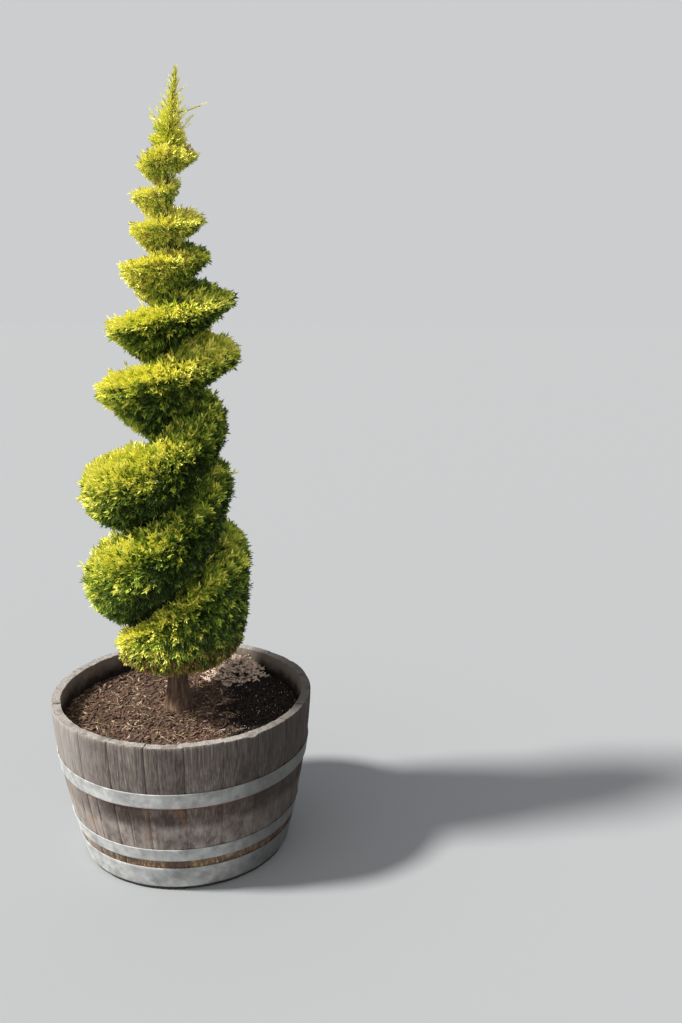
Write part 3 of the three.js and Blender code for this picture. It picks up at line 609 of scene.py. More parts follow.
def stave_profile(random):
    """Rows round the stave's section: inset from the outer face, height and zone."""
    top = BARREL_HEIGHT - RIM_UNEVENNESS / 2 + RIM_UNEVENNESS * random.uniform(-1, 1)
    face = [(0.0, height, FACE) for height in np.linspace(0, top - RIM_WEAR_DEPTH, STAVE_ROWS)]
    quarters = [part * math.pi / 2 for part in RIM_WEAR_PARTS]
    shoulder = [(RIM_WEAR * (1 - math.cos(at)), top - RIM_WEAR_DEPTH * (1 - math.sin(at)), FACE)
                for at in quarters]
    flat = np.linspace(0, 1, RIM_ROWS)
    rim = [(lerp(RIM_WEAR, STAVE_THICKNESS - RIM_EDGE_WIDTH, part), top, RIM) for part in flat]
    wall = [(STAVE_THICKNESS, height, WALL) for height in (top - RIM_EDGE_DEPTH, *WALL_HEIGHTS, HEAD_TOP)]
    croze = [(STAVE_THICKNESS - GROOVE_DEPTH, height, WALL) for height in (HEAD_TOP, HEAD_UNDERSIDE)]
    chime = [(STAVE_THICKNESS, height, WALL) for height in (HEAD_UNDERSIDE, CHIME_BEVEL)]
    return [*face, *shoulder, *rim, *wall, *croze, *chime, (STAVE_THICKNESS - CHIME_BEVEL, 0, WALL)]


def add_stave(index, woods, sawn, charred):
    profile = stave_profile(np.random.default_rng(STAVE_SEED + index))
    insets, heights = (np.array([row[at] for row in profile]) for at in (0, 1))
    zones = np.array([row[2] for row in profile])
    share = 2 * math.pi / STAVE_COUNT
    trim = STAVE_JOINT / 2 / RIM_RADIUS
    angles = np.linspace(index * share + trim, (index + 1) * share - trim, STAVE_COLUMNS)
    grid_angle, grid_height = np.meshgrid(angles, heights, indexing="ij")
    relief = StaveRelief(RELIEF_SEED + index, share * RIM_RADIUS)
    depth = relief((grid_angle - angles[0]) * RIM_RADIUS, grid_height) * ZONE_RELIEF[zones]
    radius = stave_outer_radius(grid_height) - insets - depth
    saw = Patches(SAW_SIZE, SAW_SEED + index)(polar(grid_angle, radius, grid_height))
    away = ((grid_angle - CHIP_AZIMUTH + np.pi) % (2 * np.pi) - np.pi) * RIM_RADIUS
    chip = np.exp(-(away / CHIP_WIDTH) ** 2) * smooth_step(grid_height, *CHIP_HEIGHTS)
    chip = chip * np.where(zones < WALL, np.clip(1 - insets / CHIP_INSET, 0, 1), 0)
    height = grid_height + np.where(zones == RIM, SAW_RELIEF * saw, 0) - CHIP_DEPTH * chip
    points = polar(grid_angle, radius, height).reshape(-1, 3)
    size = len(profile)
    looks = np.tile(zones, STAVE_COLUMNS - 1)
    looks[size - 1::size] = FACE
    sides = side_faces(profile)
    both_sides = np.concatenate([sides[:, ::-1], sides + (STAVE_COLUMNS - 1) * size])
    faces = [grid_faces(STAVE_COLUMNS, size, wraps=True), both_sides]
    looks = np.concatenate([looks, np.full(len(both_sides), FACE)])
    wood = woods[(index * 7 + 3) % len(woods)]
    name = f"stave_{index + 1:02d}"
    stave = piece_of(f"oak_{name}", points, faces, [wood, sawn, charred], "staves", face_materials=looks)
    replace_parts(stave, name)
    stave.data.set_sharp_from_angle(angle=STAVE_SHARP_ANGLE)


def side_faces(profile):
    """The flat side of a stave as a strip between its outer rows and its inner ones."""
    outer = [at for at, (inset, _, _) in enumerate(profile) if inset < STAVE_THICKNESS / 2]
    inner = [at for at in range(len(profile)) if at not in outer][::-1]
    faces = []
    low, high = 0, 0
    while low < len(outer) - 1 or high < len(inner) - 1:
        next_outer = profile[outer[low + 1]][1] if low < len(outer) - 1 else math.inf
        next_inner = profile[inner[high + 1]][1] if high < len(inner) - 1 else math.inf
        if next_outer <= next_inner:
            faces.append([outer[low], outer[low + 1], inner[high]])
            low += 1
        else:
            faces.append([outer[low], inner[high + 1], inner[high]])
            high += 1
    return np.array(faces)


def add_barrel():
    woods = [weathered_oak(*oak) for oak in OAKS]
    sawn, charred = sawn_oak(), charred_oak()
    for index in range(STAVE_COUNT):
        add_stave(index, woods, sawn, charred)
    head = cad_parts["head_board"]
    head.data.materials.clear()
    head.data.materials.append(head_oak())


# Hoops

HOOP_STEPS = 220
# Section of a hoop: rise as a part of the thickness, and share of the width
HOOP_SECTION = np.array([
    [0, 0], [0.7, 0], [1, 0.03], [0.92, 0.12], [0.88, 0.5], [0.92, 0.88], [1, 0.97], [0.7, 1], [0, 1],
])
HOOP_LAP_AZIMUTH = {"hoop_upper": 112.0, "hoop_middle": 96.0, "hoop_foot": 121.0}
HOOP_LAP = 62.0
LAP_STEPS = 14
LAP_LIFT = 0.6
LAP_THICKNESS_PART = 0.7
LAP_END_PART = 0.3
LAP_EASE = 0.9
HOOP_DENT = 0.35
HOOP_DENT_SIZE = 90.0
HOOP_DENT_SEED = 60
DEEPEST_DENT = -0.5
RIVET_PLACES = (-0.504, 0.504)
RIVET_SEAT = 1.75
RIVET_RADIUS = 4.6
RIVET_RISE = 2.6
RIVET_RINGS = 5
RIVET_SIDES = 14
HOOP_SHARP_ANGLE = math.radians(35)


def add_hoop(name, steel):
    """A steel band with eased edges, lapped at the back under two rivets."""
    top, bottom = (BARREL_HEIGHT - edge for edge in HOOP_EDGES[name])
    rises, shares = HOOP_THICKNESS * HOOP_SECTION[:, 0], HOOP_SECTION[:, 1]
    heights = lerp(bottom, top, shares)
    low_radius, high_radius = (stave_outer_radius(at) + CLEARANCE for at in (bottom, top))
    base = lerp(low_radius, high_radius, shares)
    grid_angle, grid_height = np.meshgrid(angles_round(HOOP_STEPS), heights, indexing="ij")
    dents = Patches(HOOP_DENT_SIZE, HOOP_DENT_SEED + int(top))
    dent = HOOP_DENT * dents(polar(grid_angle, base + 0 * grid_angle, grid_height)) * (rises > 0)
    points = polar(grid_angle, base + rises + np.maximum(dent, DEEPEST_DENT), grid_height).reshape(-1, 3)
    size = len(HOOP_SECTION)
    faces = grid_faces(HOOP_STEPS + 1, size, wraps=True) % (HOOP_STEPS * size)
    lap = math.radians(HOOP_LAP_AZIMUTH[name])
    half = HOOP_LAP / 2 / high_radius
    lap_angles = np.linspace(lap - half, lap + half, LAP_STEPS)
    lap_angle, lap_height = np.meshgrid(lap_angles, heights, indexing="ij")
    seated = smooth_step(np.abs(lap_angle - lap), half, half * LAP_EASE)
    lap_rise = rises * LAP_THICKNESS_PART * lerp(LAP_END_PART, 1, seated)
    lap_radius = base + HOOP_THICKNESS * LAP_LIFT + lap_rise
    lap_points = polar(lap_angle, lap_radius, lap_height).reshape(-1, 3)
    middle = (bottom + top) / 2
    seat = stave_outer_radius(middle) + RIVET_SEAT * HOOP_THICKNESS
    rivets = [rivet(lap + place * half, middle, seat) for place in RIVET_PLACES]
    lap_faces = grid_faces(LAP_STEPS, size, wraps=True)
    points, faces = joined([(points, faces), (lap_points, lap_faces), *rivets])
    hoop = piece_of(f"steel_{name}", points, faces, [steel], "hoops")
    hoop.data.set_sharp_from_angle(angle=HOOP_SHARP_ANGLE)
    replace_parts(hoop, name)


def rivet(azimuth, height, radius):
    """A low round head that faces outward."""
    outward = np.array([math.cos(azimuth), math.sin(azimuth), 0])
    across = np.array([-math.sin(azimuth), math.cos(azimuth), 0])
    tilt = np.linspace(0, math.pi / 2, RIVET_RINGS)[:, None]
    turn = angles_round(RIVET_SIDES)[None]
    flat = RIVET_RADIUS * np.cos(tilt)
    rise = RIVET_RISE * np.sin(tilt) + 0 * turn
    points = outward * (radius + rise[..., None]) + across * (flat * np.cos(turn))[..., None]
    points = points + upright(height + flat * np.sin(turn))
    return points.reshape(-1, 3), grid_faces(RIVET_RINGS, RIVET_SIDES, wraps=True)


# Soil and what lies on it

SOIL_STEPS = 150
SOIL_RINGS = 40
SOIL_FIRST_RING = 0.004
SOIL_RELIEF = 2.2
SOIL_WALL_HEIGHTS = (340, 200, HEAD_TOP)
# Lumps of the soil and ragged edges of the mulch: size, seed and weight
SOIL_LUMPS = [(70, 11, 1), (26, 12, 0.6), (11, 13, 0.35)]
MULCH_LUMPS = [(60, 21, 30)]
CLUMP_LUMPS = [(30, 22, 9), (9, 23, 6)]
WALL_MARGIN = 9.0
TRUNK_MARGIN = 42.0
MULCH_EDGE_X = 120.0
MULCH_EDGE_SLOPE = 0.25
CLUMP_HEIGHT = 11.0
CLUMP_LEAST_HEIGHT = 3.0
CHIP_CORNERS = np.array([[x, y, z] for z in (-1, 1) for x, y in ((-1, -1), (1, -1), (1, 1), (-1, 1))])
CHIP_FACES = np.array([
    [0, 1, 2], [0, 2, 3], [4, 6, 5], [4, 7, 6], [0, 4, 5], [0, 5, 1],
    [1, 5, 6], [1, 6, 2], [2, 6, 7], [2, 7, 3], [3, 7, 4], [3, 4, 0],
])
CHIP_LEAST_PART = 0.55
CHIP_TILT = 0.45
STRAWS = 110
STRAW_TILT = 0.2
STRAW_HALVES = (10, 26)
STRAW_BEND = 4.0
STRAW_LIFT = 4.5
STRAW_RADII = (0.8, 0.4)
PERLITE_GRAINS = 330
PERLITE_LEAST = 1.0
PERLITE_SPREAD = 2.4
PERLITE_TILT = 0.6
PERLITE_LIFT = 1.1
MULCH_SEED = 31


def heap_height(heap, points):
    x, y, rise, flat, reach = heap
    away = np.hypot(points[:, 0] - x, points[:, 1] - y)
    return rise * (1 - smooth_step(away, flat, reach))


def soil_height(points):
    """The lie of the soil at x and y: the source's heaps with small lumps on them."""
    heaps = heap_height(ROOT_BALL, points) + heap_height(MULCH_HEAP, points)
    return SOIL_LEVEL + SOIL_RELIEF * ragged_at(points, SOIL_LUMPS) + heaps


def wall_radius(height):
    return stave_outer_radius(height) - STAVE_THICKNESS - SOIL_WALL_GAP


def add_soil(compost):
    angles = angles_round(SOIL_STEPS)
    radii = wall_radius(SOIL_LEVEL) * np.linspace(SOIL_FIRST_RING, 1, SOIL_RINGS)
    grid_radius, grid_angle = np.meshgrid(radii, angles, indexing="ij")
    top = polar(grid_angle, grid_radius, 0).reshape(-1, 3)
    top[:, 2] = soil_height(top)
    rings = [polar(angles, wall_radius(height), height) for height in SOIL_WALL_HEIGHTS]
    points = np.concatenate([top, *rings, polar(angles, 2, HEAD_TOP)])
    faces = grid_faces(len(points) // SOIL_STEPS, SOIL_STEPS, wraps=True)
    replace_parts(piece_of("compost", points, faces, [compost], "soil"), "soil")


def scattered(count, inside, random):
    """Places on the soil, kept where the test of x and y says so, clear of the wall and the trunk."""
    places = np.empty((0, 3))
    while len(places) < count:
        radius = (wall_radius(SOIL_LEVEL) - WALL_MARGIN) * np.sqrt(random.random(4 * count))
        tried = polar(random.uniform(0, 2 * np.pi, 4 * count), radius, 0)
        clear = np.hypot(tried[:, 0] - FOOT_OFFSET_X, tried[:, 1]) > TRUNK_MARGIN
        places = np.concatenate([places, tried[clear & inside(tried)]])
    places = places[:count]
    places[:, 2] = soil_height(places)
    return places


def lying_frames(count, tilt, random):
    """Directions along, across and up of things that lie at random, tilted up to an angle."""
    turn = random.uniform(0, 2 * np.pi, count)
    lean = random.uniform(-tilt, tilt, count)
    roll = random.uniform(-tilt, tilt, count)[:, None]
    along = polar(turn, np.cos(lean), np.sin(lean))
    level = polar(turn + np.pi / 2, 1, 0)
    upward = np.cross(along, level)
    across = level * np.cos(roll) + upward * np.sin(roll)
    return along, across, np.cross(along, across)


def chips(places, sizes, tilt, random, lift=0.5):
    """Split pieces of bark or wood: crooked slabs of six faces, by length, width and thickness."""
    count = len(places)
    axes = lying_frames(count, tilt, random)
    shaped = CHIP_CORNERS[None] * random.uniform(CHIP_LEAST_PART, 1.0, (count, 8, 3)) / 2
    shaped = shaped * np.stack(sizes, axis=1)[:, None]
    points = places[:, None] + sum(shaped[..., at:at + 1] * axis[:, None] for at, axis in enumerate(axes))
    points[..., 2] += (lift * sizes[2])[:, None]
    return points.reshape(-1, 3), copied_faces(CHIP_FACES, count, len(CHIP_CORNERS))


def ragged_at(places, lumps):
    flat = places * [1, 1, 0]
    return sum(weight * Patches(size, seed)(flat) for size, seed, weight in lumps)


def near_clump(places):
    ragged = ragged_at(places, CLUMP_LUMPS)
    return heap_height(MULCH_HEAP, places) > np.maximum(CLUMP_HEIGHT + ragged, CLUMP_LEAST_HEIGHT)


def is_mulch(places):
    ragged = ragged_at(places, MULCH_LUMPS)
    edge = MULCH_EDGE_X - MULCH_EDGE_SLOPE * places[:, 1]
    return (places[:, 0] + ragged < edge) | near_clump(places)


def is_soil(places):
    return ~is_mulch(places)


# Kinds of chips: dark and pale colour, count, ranges of length, width and thickness, and where they lie
CHIP_KINDS = {
    "mulch_red": ("#4c382c", "#74594a", 1300, (6, 24), (3, 8), (1.5, 4), is_mulch),
    "mulch_brown": ("#382b24", "#6d594b", 1700, (5, 20), (3, 8), (2, 4.5), is_mulch),
    "mulch_pale": ("#8a7562", "#b8a48f", 420, (6, 24), (2, 5), (1.5, 3), is_mulch),
    "soil_crumbs": ("#14100d", "#332a23", 1800, (3, 10), (3, 8), (2, 6), is_soil),
    "mulch_grey": ("#bfa896", "#e4d2c0", 800, (6, 32), (2, 6), (1.5, 4), near_clump),
    "mulch_rose": ("#8a7262", "#b69d8b", 420, (5, 24), (3, 7), (1.5, 4), near_clump),
}


def add_mulch():
    random = np.random.default_rng(MULCH_SEED)
    for name, (dark, pale, count, *spans, inside) in CHIP_KINDS.items():
        places = scattered(count, inside, random)
        sizes = [random.uniform(*span, count) for span in spans]
        look = speckled_material(f"{name}_look", dark, pale)
        piece_of(name, *chips(places, sizes, CHIP_TILT, random), [look], "soil", smooth=False)
    straws = scattered(STRAWS, is_mulch, random) + [0, 0, STRAW_LIFT]
    along, _, _ = lying_frames(STRAWS, STRAW_TILT, random)
    half = along * random.uniform(*STRAW_HALVES, (STRAWS, 1))
    bends = np.cross(along, UP) * random.uniform(-STRAW_BEND, STRAW_BEND, (STRAWS, 1))
    look = speckled_material("straw_look", "#8d7b5a", "#bba982")
    sticks = tubes(straws - half, straws + half, *STRAW_RADII, bends, sides=4, rings=4)
    piece_of("straw", *sticks, [look], "soil")
    grains = scattered(PERLITE_GRAINS, is_soil, random)
    most = PERLITE_LEAST + PERLITE_SPREAD * random.random(PERLITE_GRAINS)
    sizes = random.uniform(PERLITE_LEAST, most, (3, PERLITE_GRAINS))
    look = speckled_material("perlite_look", "#b9b6ae", "#e4e2dc")
    points, faces = chips(grains, sizes, PERLITE_TILT, random, lift=PERLITE_LIFT)
    piece_of("perlite", points, faces, [look], "soil", smooth=False)


# Trunk

TRUNK_SIDES = 48
TRUNK_RINGS = 420
RING_CROWDING = 1.25
SUNK_FOOT = 6.0
LEAFY_TIP = 16.0
BARK_SEED = 5
BARK_RIDGES = (5, 7, 9, 12, 15)
BARK_TWIST = 0.012
BARK_SWINGS = (0.6, 1.4)
BARK_LENGTHS = (28, 70)
BARK_PHASES = (0, 6)
BARK_RELIEF = 0.085
RIDGE_SHARE = 0.7
PLATE_SHARE = 0.35
PLATE_SIZE = 16
PLATE_SEED = 6
PLATE_STRETCH = (1, 1, 2.2)
BUTTRESSES = 4
BUTTRESS_AZIMUTH = 0.8
BUTTRESS_RISE = 3.5
BUTTRESS_FALL = 34.0
BUTTRESS_TOP = 150.0


def trunk_centre(height):
    """x and y of the trunk's middle, as two arrays."""
    rise = (height - TRUNK_FOOT) / 1000
    bend = np.maximum(0, (height - LEADER_BEND_START) / (TREE_TOP - LEADER_BEND_START))
    x = FOOT_OFFSET_X + LEAN_PER_METRE * rise + LEADER_BEND * bend ** LEADER_BEND_POWER
    return x, SWAY_Y * np.sin(np.pi * rise)


def round_trunk(azimuth, radius, height):
    """Points at an angle and a radius about the trunk's middle."""
    x, y = trunk_centre(height)
    return polar(azimuth, radius, height) + np.stack([x, y, 0 * x], axis=-1)


def trunk_radius(height):
    part = np.clip((height - TRUNK_FOOT) / (TREE_TOP - TRUNK_FOOT), 0, 1)
    taper = lerp(TRUNK_TIP_RADIUS, TRUNK_FOOT_RADIUS, (1 - part) ** TRUNK_TAPER_POWER)
    return taper + FLARE_RADIUS * np.exp(-(height - TRUNK_FOOT) / FLARE_HEIGHT)


def add_trunk(bark):
    """The trunk with long flat ridges of bark and furrows between them."""
    span = TREE_TOP - LEAFY_TIP - TRUNK_FOOT + SUNK_FOOT
    heights = TRUNK_FOOT - SUNK_FOOT + span * np.linspace(0, 1, TRUNK_RINGS) ** RING_CROWDING
    height, angle = np.meshgrid(heights, angles_round(TRUNK_SIDES), indexing="ij")
    radius = trunk_radius(np.maximum(height, TRUNK_FOOT))
    random = np.random.default_rng(BARK_SEED)
    ridges = 0
    for count in BARK_RIDGES:
        twist = random.uniform(-BARK_TWIST, BARK_TWIST)
        swing = random.uniform(*BARK_SWINGS)
        wander = swing * np.sin(height / random.uniform(*BARK_LENGTHS) + random.uniform(*BARK_PHASES))
        ridges = ridges + np.sin(count * (angle + twist * height) + wander + random.uniform(*BARK_PHASES))
    plates = Patches(PLATE_SIZE, PLATE_SEED, PLATE_STRETCH)(polar(angle, radius, height))
    radius = radius * (1 + BARK_RELIEF * (RIDGE_SHARE * np.tanh(ridges) + PLATE_SHARE * plates))
    buttress = BUTTRESS_RISE * np.exp(-(height - TRUNK_FOOT) / BUTTRESS_FALL)
    buttress = buttress * np.sin(BUTTRESSES * angle + BUTTRESS_AZIMUTH)
    radius = radius + np.where(height < TRUNK_FOOT + BUTTRESS_TOP, buttress, 0)
    x, y = trunk_centre(np.maximum(height, TRUNK_FOOT))
    points = polar(angle, radius, height) + np.stack([x, y, 0 * x], axis=-1)
    faces = grid_faces(TRUNK_RINGS, TRUNK_SIDES, wraps=True)
    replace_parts(piece_of("bark_trunk", points.reshape(-1, 3), faces, [bark], "bark"), "trunk")


# The clipped ramp, by the source's rule

RAMP_TURNS = RAMP_LAST_TURN - RAMP_FIRST_TURN


def ramp_height(turn):
    return curve_through(RAMP_HEIGHTS, 2 * (turn - FIRST_KEY_TURN))


def ramp_reach(turn):
    return curve_through(RAMP_REACHES, 2 * (turn - FIRST_KEY_TURN))


def rim_height(turn):
    return BARREL_HEIGHT + ramp_height(turn)


def blended(first, second, turn, span):
    part = smooth_step(turn, *span)
    return [lerp(early, late, part) for early, late in zip(first, second)]


def section_at(turn):
    return blended(BLUNT_SECTION, POINTED_SECTION, turn, BLUNT_TO_POINTED)


def underside_at(turn, is_skirt):
    coned = blended(BLUNT_SECTION, CONE_SECTION, turn, BLUNT_TO_CONE)
    under = blended(coned, POINTED_SECTION, turn, CONE_TO_POINTED)
    return [np.where(is_skirt, skirt, size) for skirt, size in zip(SKIRT_SECTION, under)]


def rise_share(turn):
    """The part of the way up to the next turn that the ramp fills."""
    after = np.clip(np.searchsorted(RISE_TURNS, turn, side="right"), 1, len(RISE_TURNS) - 1)
    part = smooth_step(turn, RISE_TURNS[after - 1], RISE_TURNS[after])
    return lerp(RISE_SHARES[after - 1], RISE_SHARES[after], part)


def root_rise(turn):
    spacing = ramp_height(turn + 1) - ramp_height(turn)
    shared = np.maximum(spacing * rise_share(turn) - TURN_GAP, LEAST_RISE)
    free = np.maximum(TOP_TURN_HEIGHT - ramp_height(turn), LEAST_RISE)
    return lerp(shared, free, smooth_step(turn, *TOP_TURN))


def root_drop(turn, is_skirt):
    spacing = ramp_height(turn) - ramp_height(turn - 1)
    covered = spacing * (1 - rise_share(turn - 1)) - TURN_GAP
    return np.where(is_skirt, ramp_height(turn) - SKIRT_BOTTOM, covered)


def outline(turn, signed, is_skirt):
    """Radius and height at a signed part of the half height, 1 at the top and -1 at the bottom."""
    sections = zip(underside_at(turn, is_skirt), section_at(turn))
    power, rounding = [np.where(signed < 0, under, over) for under, over in sections]
    root = np.where(signed < 0, root_drop(turn, is_skirt), root_rise(turn))
    narrowed = np.maximum(0, (np.abs(signed) - RIM_FRACTION) / (1 - RIM_FRACTION))
    part = np.maximum(0, 1 - narrowed ** (1 / rounding)) ** (1 / power)
    return ramp_reach(turn) * part, rim_height(turn) + root * signed


def limits(turn, radius):
    """Bottom and top of the section at a radius."""
    part = np.minimum(radius / ramp_reach(turn), 1)
    is_skirt = turn < FIRST_COVERED_TURN
    rim = rim_height(turn)
    under, over = (
        lerp(RIM_FRACTION, 1, (1 - part ** power) ** rounding)
        for power, rounding in (underside_at(turn, is_skirt), section_at(turn))
    )
    return rim - root_drop(turn, is_skirt) * under, rim + root_rise(turn) * over


def azimuth_at(turn):
    return LEFT_AZIMUTH + 2 * np.pi * turn


def outward_at(turn):
    return polar(azimuth_at(turn), 1, 0)


def ahead_at(turn):
    """The level direction along the ramp."""
    return np.cross(UP, outward_at(turn))


def on_ramp(turn, radius, height):
    return round_trunk(azimuth_at(turn), radius, height)


def on_outline(turn, lift, is_skirt):
    """Points by the turn and an angle that runs from -90 degrees at the bottom to 90 at the top."""
    return on_ramp(turn, *outline(turn, np.sin(lift), is_skirt))


def core_of(turn, radius):
    """The middle of the section below each place of the outline."""
    return on_ramp(turn, CORE_PART * radius, rim_height(turn))


# Random places on the outline
CANDIDATES = 600000
TURN_CELLS = 1000
LIFT_CELLS = 120
STEP = 1e-4
LEAST_LIFT = 0.001
CORE_PART = 0.6
BARE_STEM = 4.0
END_FLARE = 0.3
SKIRT_END_PLACES = 9000
SKIRT_END_INNER_PART = 0.8
SKIRT_END_STEP = 1e-3
SKIRT_END_LIFT = 6.0
SKIRT_END_SIGNED = -0.45
RAMP_END_PLACES = 1500
RAMP_END_SIGNED = 0.1
FREE_GAP = 99.0
CLEFT_GAPS = (5.0, 26.0)


class Surface:
    """Places on the outline: turn, radius, height, part of the half height, point, normal and openness."""

    def __init__(self, random):
        turns = RAMP_FIRST_TURN + RAMP_TURNS * (np.arange(TURN_CELLS) + 0.5) / TURN_CELLS
        lifts = np.pi * ((np.arange(LIFT_CELLS) + 0.5) / LIFT_CELLS - 0.5)
        turn, lift = (grid.ravel() for grid in np.meshgrid(turns, lifts, indexing="ij"))
        area = np.linalg.norm(self.slope(turn, lift), axis=1)
        picked = random.choice(len(turn), CANDIDATES, p=area / area.sum())
        self.turn = turn[picked] + RAMP_TURNS / TURN_CELLS * random.uniform(-0.5, 0.5, CANDIDATES)
        lift = lift[picked] + np.pi / LIFT_CELLS * random.uniform(-0.5, 0.5, CANDIDATES)
        lift = np.clip(lift, LEAST_LIFT - np.pi / 2, np.pi / 2 - LEAST_LIFT)
        self.signed = np.sin(lift)
        self.radius, self.height = outline(self.turn, self.signed, self.turn < FIRST_COVERED_TURN)
        self.point = on_ramp(self.turn, self.radius, self.height)
        normal = unit(self.slope(self.turn, lift))
        inner = on_ramp(self.turn, CORE_PART * self.radius, lerp(self.height, rim_height(self.turn), 0.5))
        self.normal = normal * np.sign(np.sum(normal * (self.point - inner), axis=1, keepdims=True))
        self.add_skirt_end(random)
        self.add_ramp_end(random)
        self.keep(self.radius > trunk_radius(self.height) + BARE_STEM)
        self.openness = self.find_openness()

    @staticmethod
    def slope(turn, lift):
        """The normal of the outline, as long as the area per turn and angle."""
        skirt = turn < FIRST_COVERED_TURN
        along = (on_outline(turn + STEP, lift, skirt) - on_outline(turn - STEP, lift, skirt)) / (2 * STEP)
        up = (on_outline(turn, lift + STEP, skirt) - on_outline(turn, lift - STEP, skirt)) / (2 * STEP)
        return np.cross(along, up)

    def keep(self, chosen):
        for name, values in list(vars(self).items()):
            setattr(self, name, values[chosen])

    def at(self, chosen):
        """The chosen places on their own."""
        part = copy.copy(self)
        part.keep(chosen)
        return part

    def add(self, turn, radius, height, signed):
        """Adds places on a flat end that faces along the ramp."""
        normal = unit(ahead_at(turn) + END_FLARE * outward_at(turn))
        added = {
            "turn": turn, "radius": radius, "height": height, "signed": np.full(len(turn), signed),
            "point": on_ramp(turn, radius, height), "normal": normal,
        }
        for name, values in added.items():
            setattr(self, name, np.concatenate([getattr(self, name), values]))

    def add_skirt_end(self, random):
        turn = np.full(SKIRT_END_PLACES, FIRST_COVERED_TURN - SKIRT_END_STEP)
        radius = random.uniform(SKIRT_END_INNER_PART * ramp_reach(turn - 1), ramp_reach(turn))
        bottom = limits(turn, radius)[0] + SKIRT_END_LIFT
        top = np.maximum(limits(turn + 2 * SKIRT_END_STEP, radius)[0], bottom)
        self.add(turn, radius, random.uniform(bottom, top), SKIRT_END_SIGNED)

    def add_ramp_end(self, random):
        turn = np.full(RAMP_END_PLACES, RAMP_LAST_TURN)
        radius = random.uniform(trunk_radius(rim_height(turn)), ramp_reach(turn))
        self.add(turn, radius, random.uniform(*limits(turn, radius)), RAMP_END_SIGNED)

    def find_openness(self):
        """From 0 in the closed cleft between two turns to 1 where the outline lies open."""
        low_above, _ = limits(self.turn + 1, self.radius)
        _, high_below = limits(self.turn - 1, self.radius)
        beyond_above = self.radius > ramp_reach(self.turn + 1)
        beyond_below = self.radius > ramp_reach(self.turn - 1)
        is_top, is_skirt = self.turn > RAMP_LAST_TURN - 1, self.turn < FIRST_COVERED_TURN
        over = np.where(beyond_above | is_top, FREE_GAP, low_above - self.height)
        under = np.where(beyond_below | is_skirt, FREE_GAP, self.height - high_below)
        return smooth_step(np.where(self.signed > 0, over, under), *CLEFT_GAPS)


def sprig_axes(places, random):
    """The way a sprig points, by the source's rule: up above the rim line, down below it."""
    count = len(places.turn)
    pitch = SPRIG_PITCH * places.signed + SPRIG_LIFT + PITCH_JITTER * (random.random(count) - 0.5)
    sideways = ahead_at(places.turn) * (SIDEWAYS_JITTER * (random.random(count) - 0.5))[:, None]
    return unit(outward_at(places.turn) * np.cos(pitch)[:, None] + sideways + upright(np.sin(pitch)))


# Sprays: each a few folded leaflets along a short axis, in parts of the spray's length and in radians

TEMPLATES = 28
PAIRS = 4
LEAFLETS = 2 * PAIRS + 1
LEAFLET_CORNERS = 4
FIRST_STATION = 0.1
STATION_SPAN = 0.74
STATION_JITTER = 0.04
LEAFLET_ANGLES = (0.26, 0.62)
LEAFLET_LENGTH = 0.46
LEAFLET_SHORTENING = 0.35
LEAFLET_LENGTHS = (0.75, 1.2)
END_STATION = 0.72
END_ANGLE = 0.15
END_LENGTHS = (0.28, 0.36)
LEAFLET_LIFT = 0.4
LEAFLET_ROLL = 0.6
LEAFLET_FOLD = 0.03
LEAFLET_WIDTHS = (0.085, 0.12)
WAIST_PART = 0.45


def spray_templates(random):
    """Sprays of unit length along x, spread across y, as arrays of corners, four to a leaflet."""
    templates = np.empty((TEMPLATES, LEAFLETS, LEAFLET_CORNERS, 3))
    for template in templates:
        for leaflet in range(LEAFLETS):
            pair, side = leaflet // 2, 1 if leaflet % 2 else -1
            station = FIRST_STATION + STATION_SPAN * pair / (PAIRS - 1)
            station += random.uniform(-STATION_JITTER, STATION_JITTER)
            angle = side * random.uniform(*LEAFLET_ANGLES)
            length = LEAFLET_LENGTH * (1 - LEAFLET_SHORTENING * station) * random.uniform(*LEAFLET_LENGTHS)
            if leaflet == LEAFLETS - 1:
                station = END_STATION
                angle, length = random.uniform(-END_ANGLE, END_ANGLE), random.uniform(*END_LENGTHS)
            lift = random.uniform(-LEAFLET_LIFT, LEAFLET_LIFT)
            along = polar(angle, math.cos(lift), math.sin(lift))
            roll = random.uniform(-LEAFLET_ROLL, LEAFLET_ROLL)
            across = unit(np.cross(UP, along) + UP * roll)
            fold = np.cross(along, across) * LEAFLET_FOLD
            half = across * random.uniform(*LEAFLET_WIDTHS) / 2
            base = np.array([station, 0, 0])
            waist = base + along * length * WAIST_PART - fold
            template[leaflet] = [base, waist + half, base + along * length, waist - half]
    return templates.reshape(TEMPLATES, LEAFLETS * LEAFLET_CORNERS, 3)


def spray_points(templates, roots, tips, random):
    """Corners of the sprays that run from the roots to the tips, each rolled at random."""
    count = len(roots)
    length = np.linalg.norm(tips - roots, axis=1)[:, None]
    axes = (tips - roots) / length
    across = unit(np.cross(axes, unit(random.normal(size=(count, 3)))))
    local = templates[random.integers(0, TEMPLATES, count)] * length[:, None]
    points = roots[:, None] + local[..., :1] * axes[:, None] + local[..., 1:2] * across[:, None]
    return points + local[..., 2:] * np.cross(axes, across)[:, None]


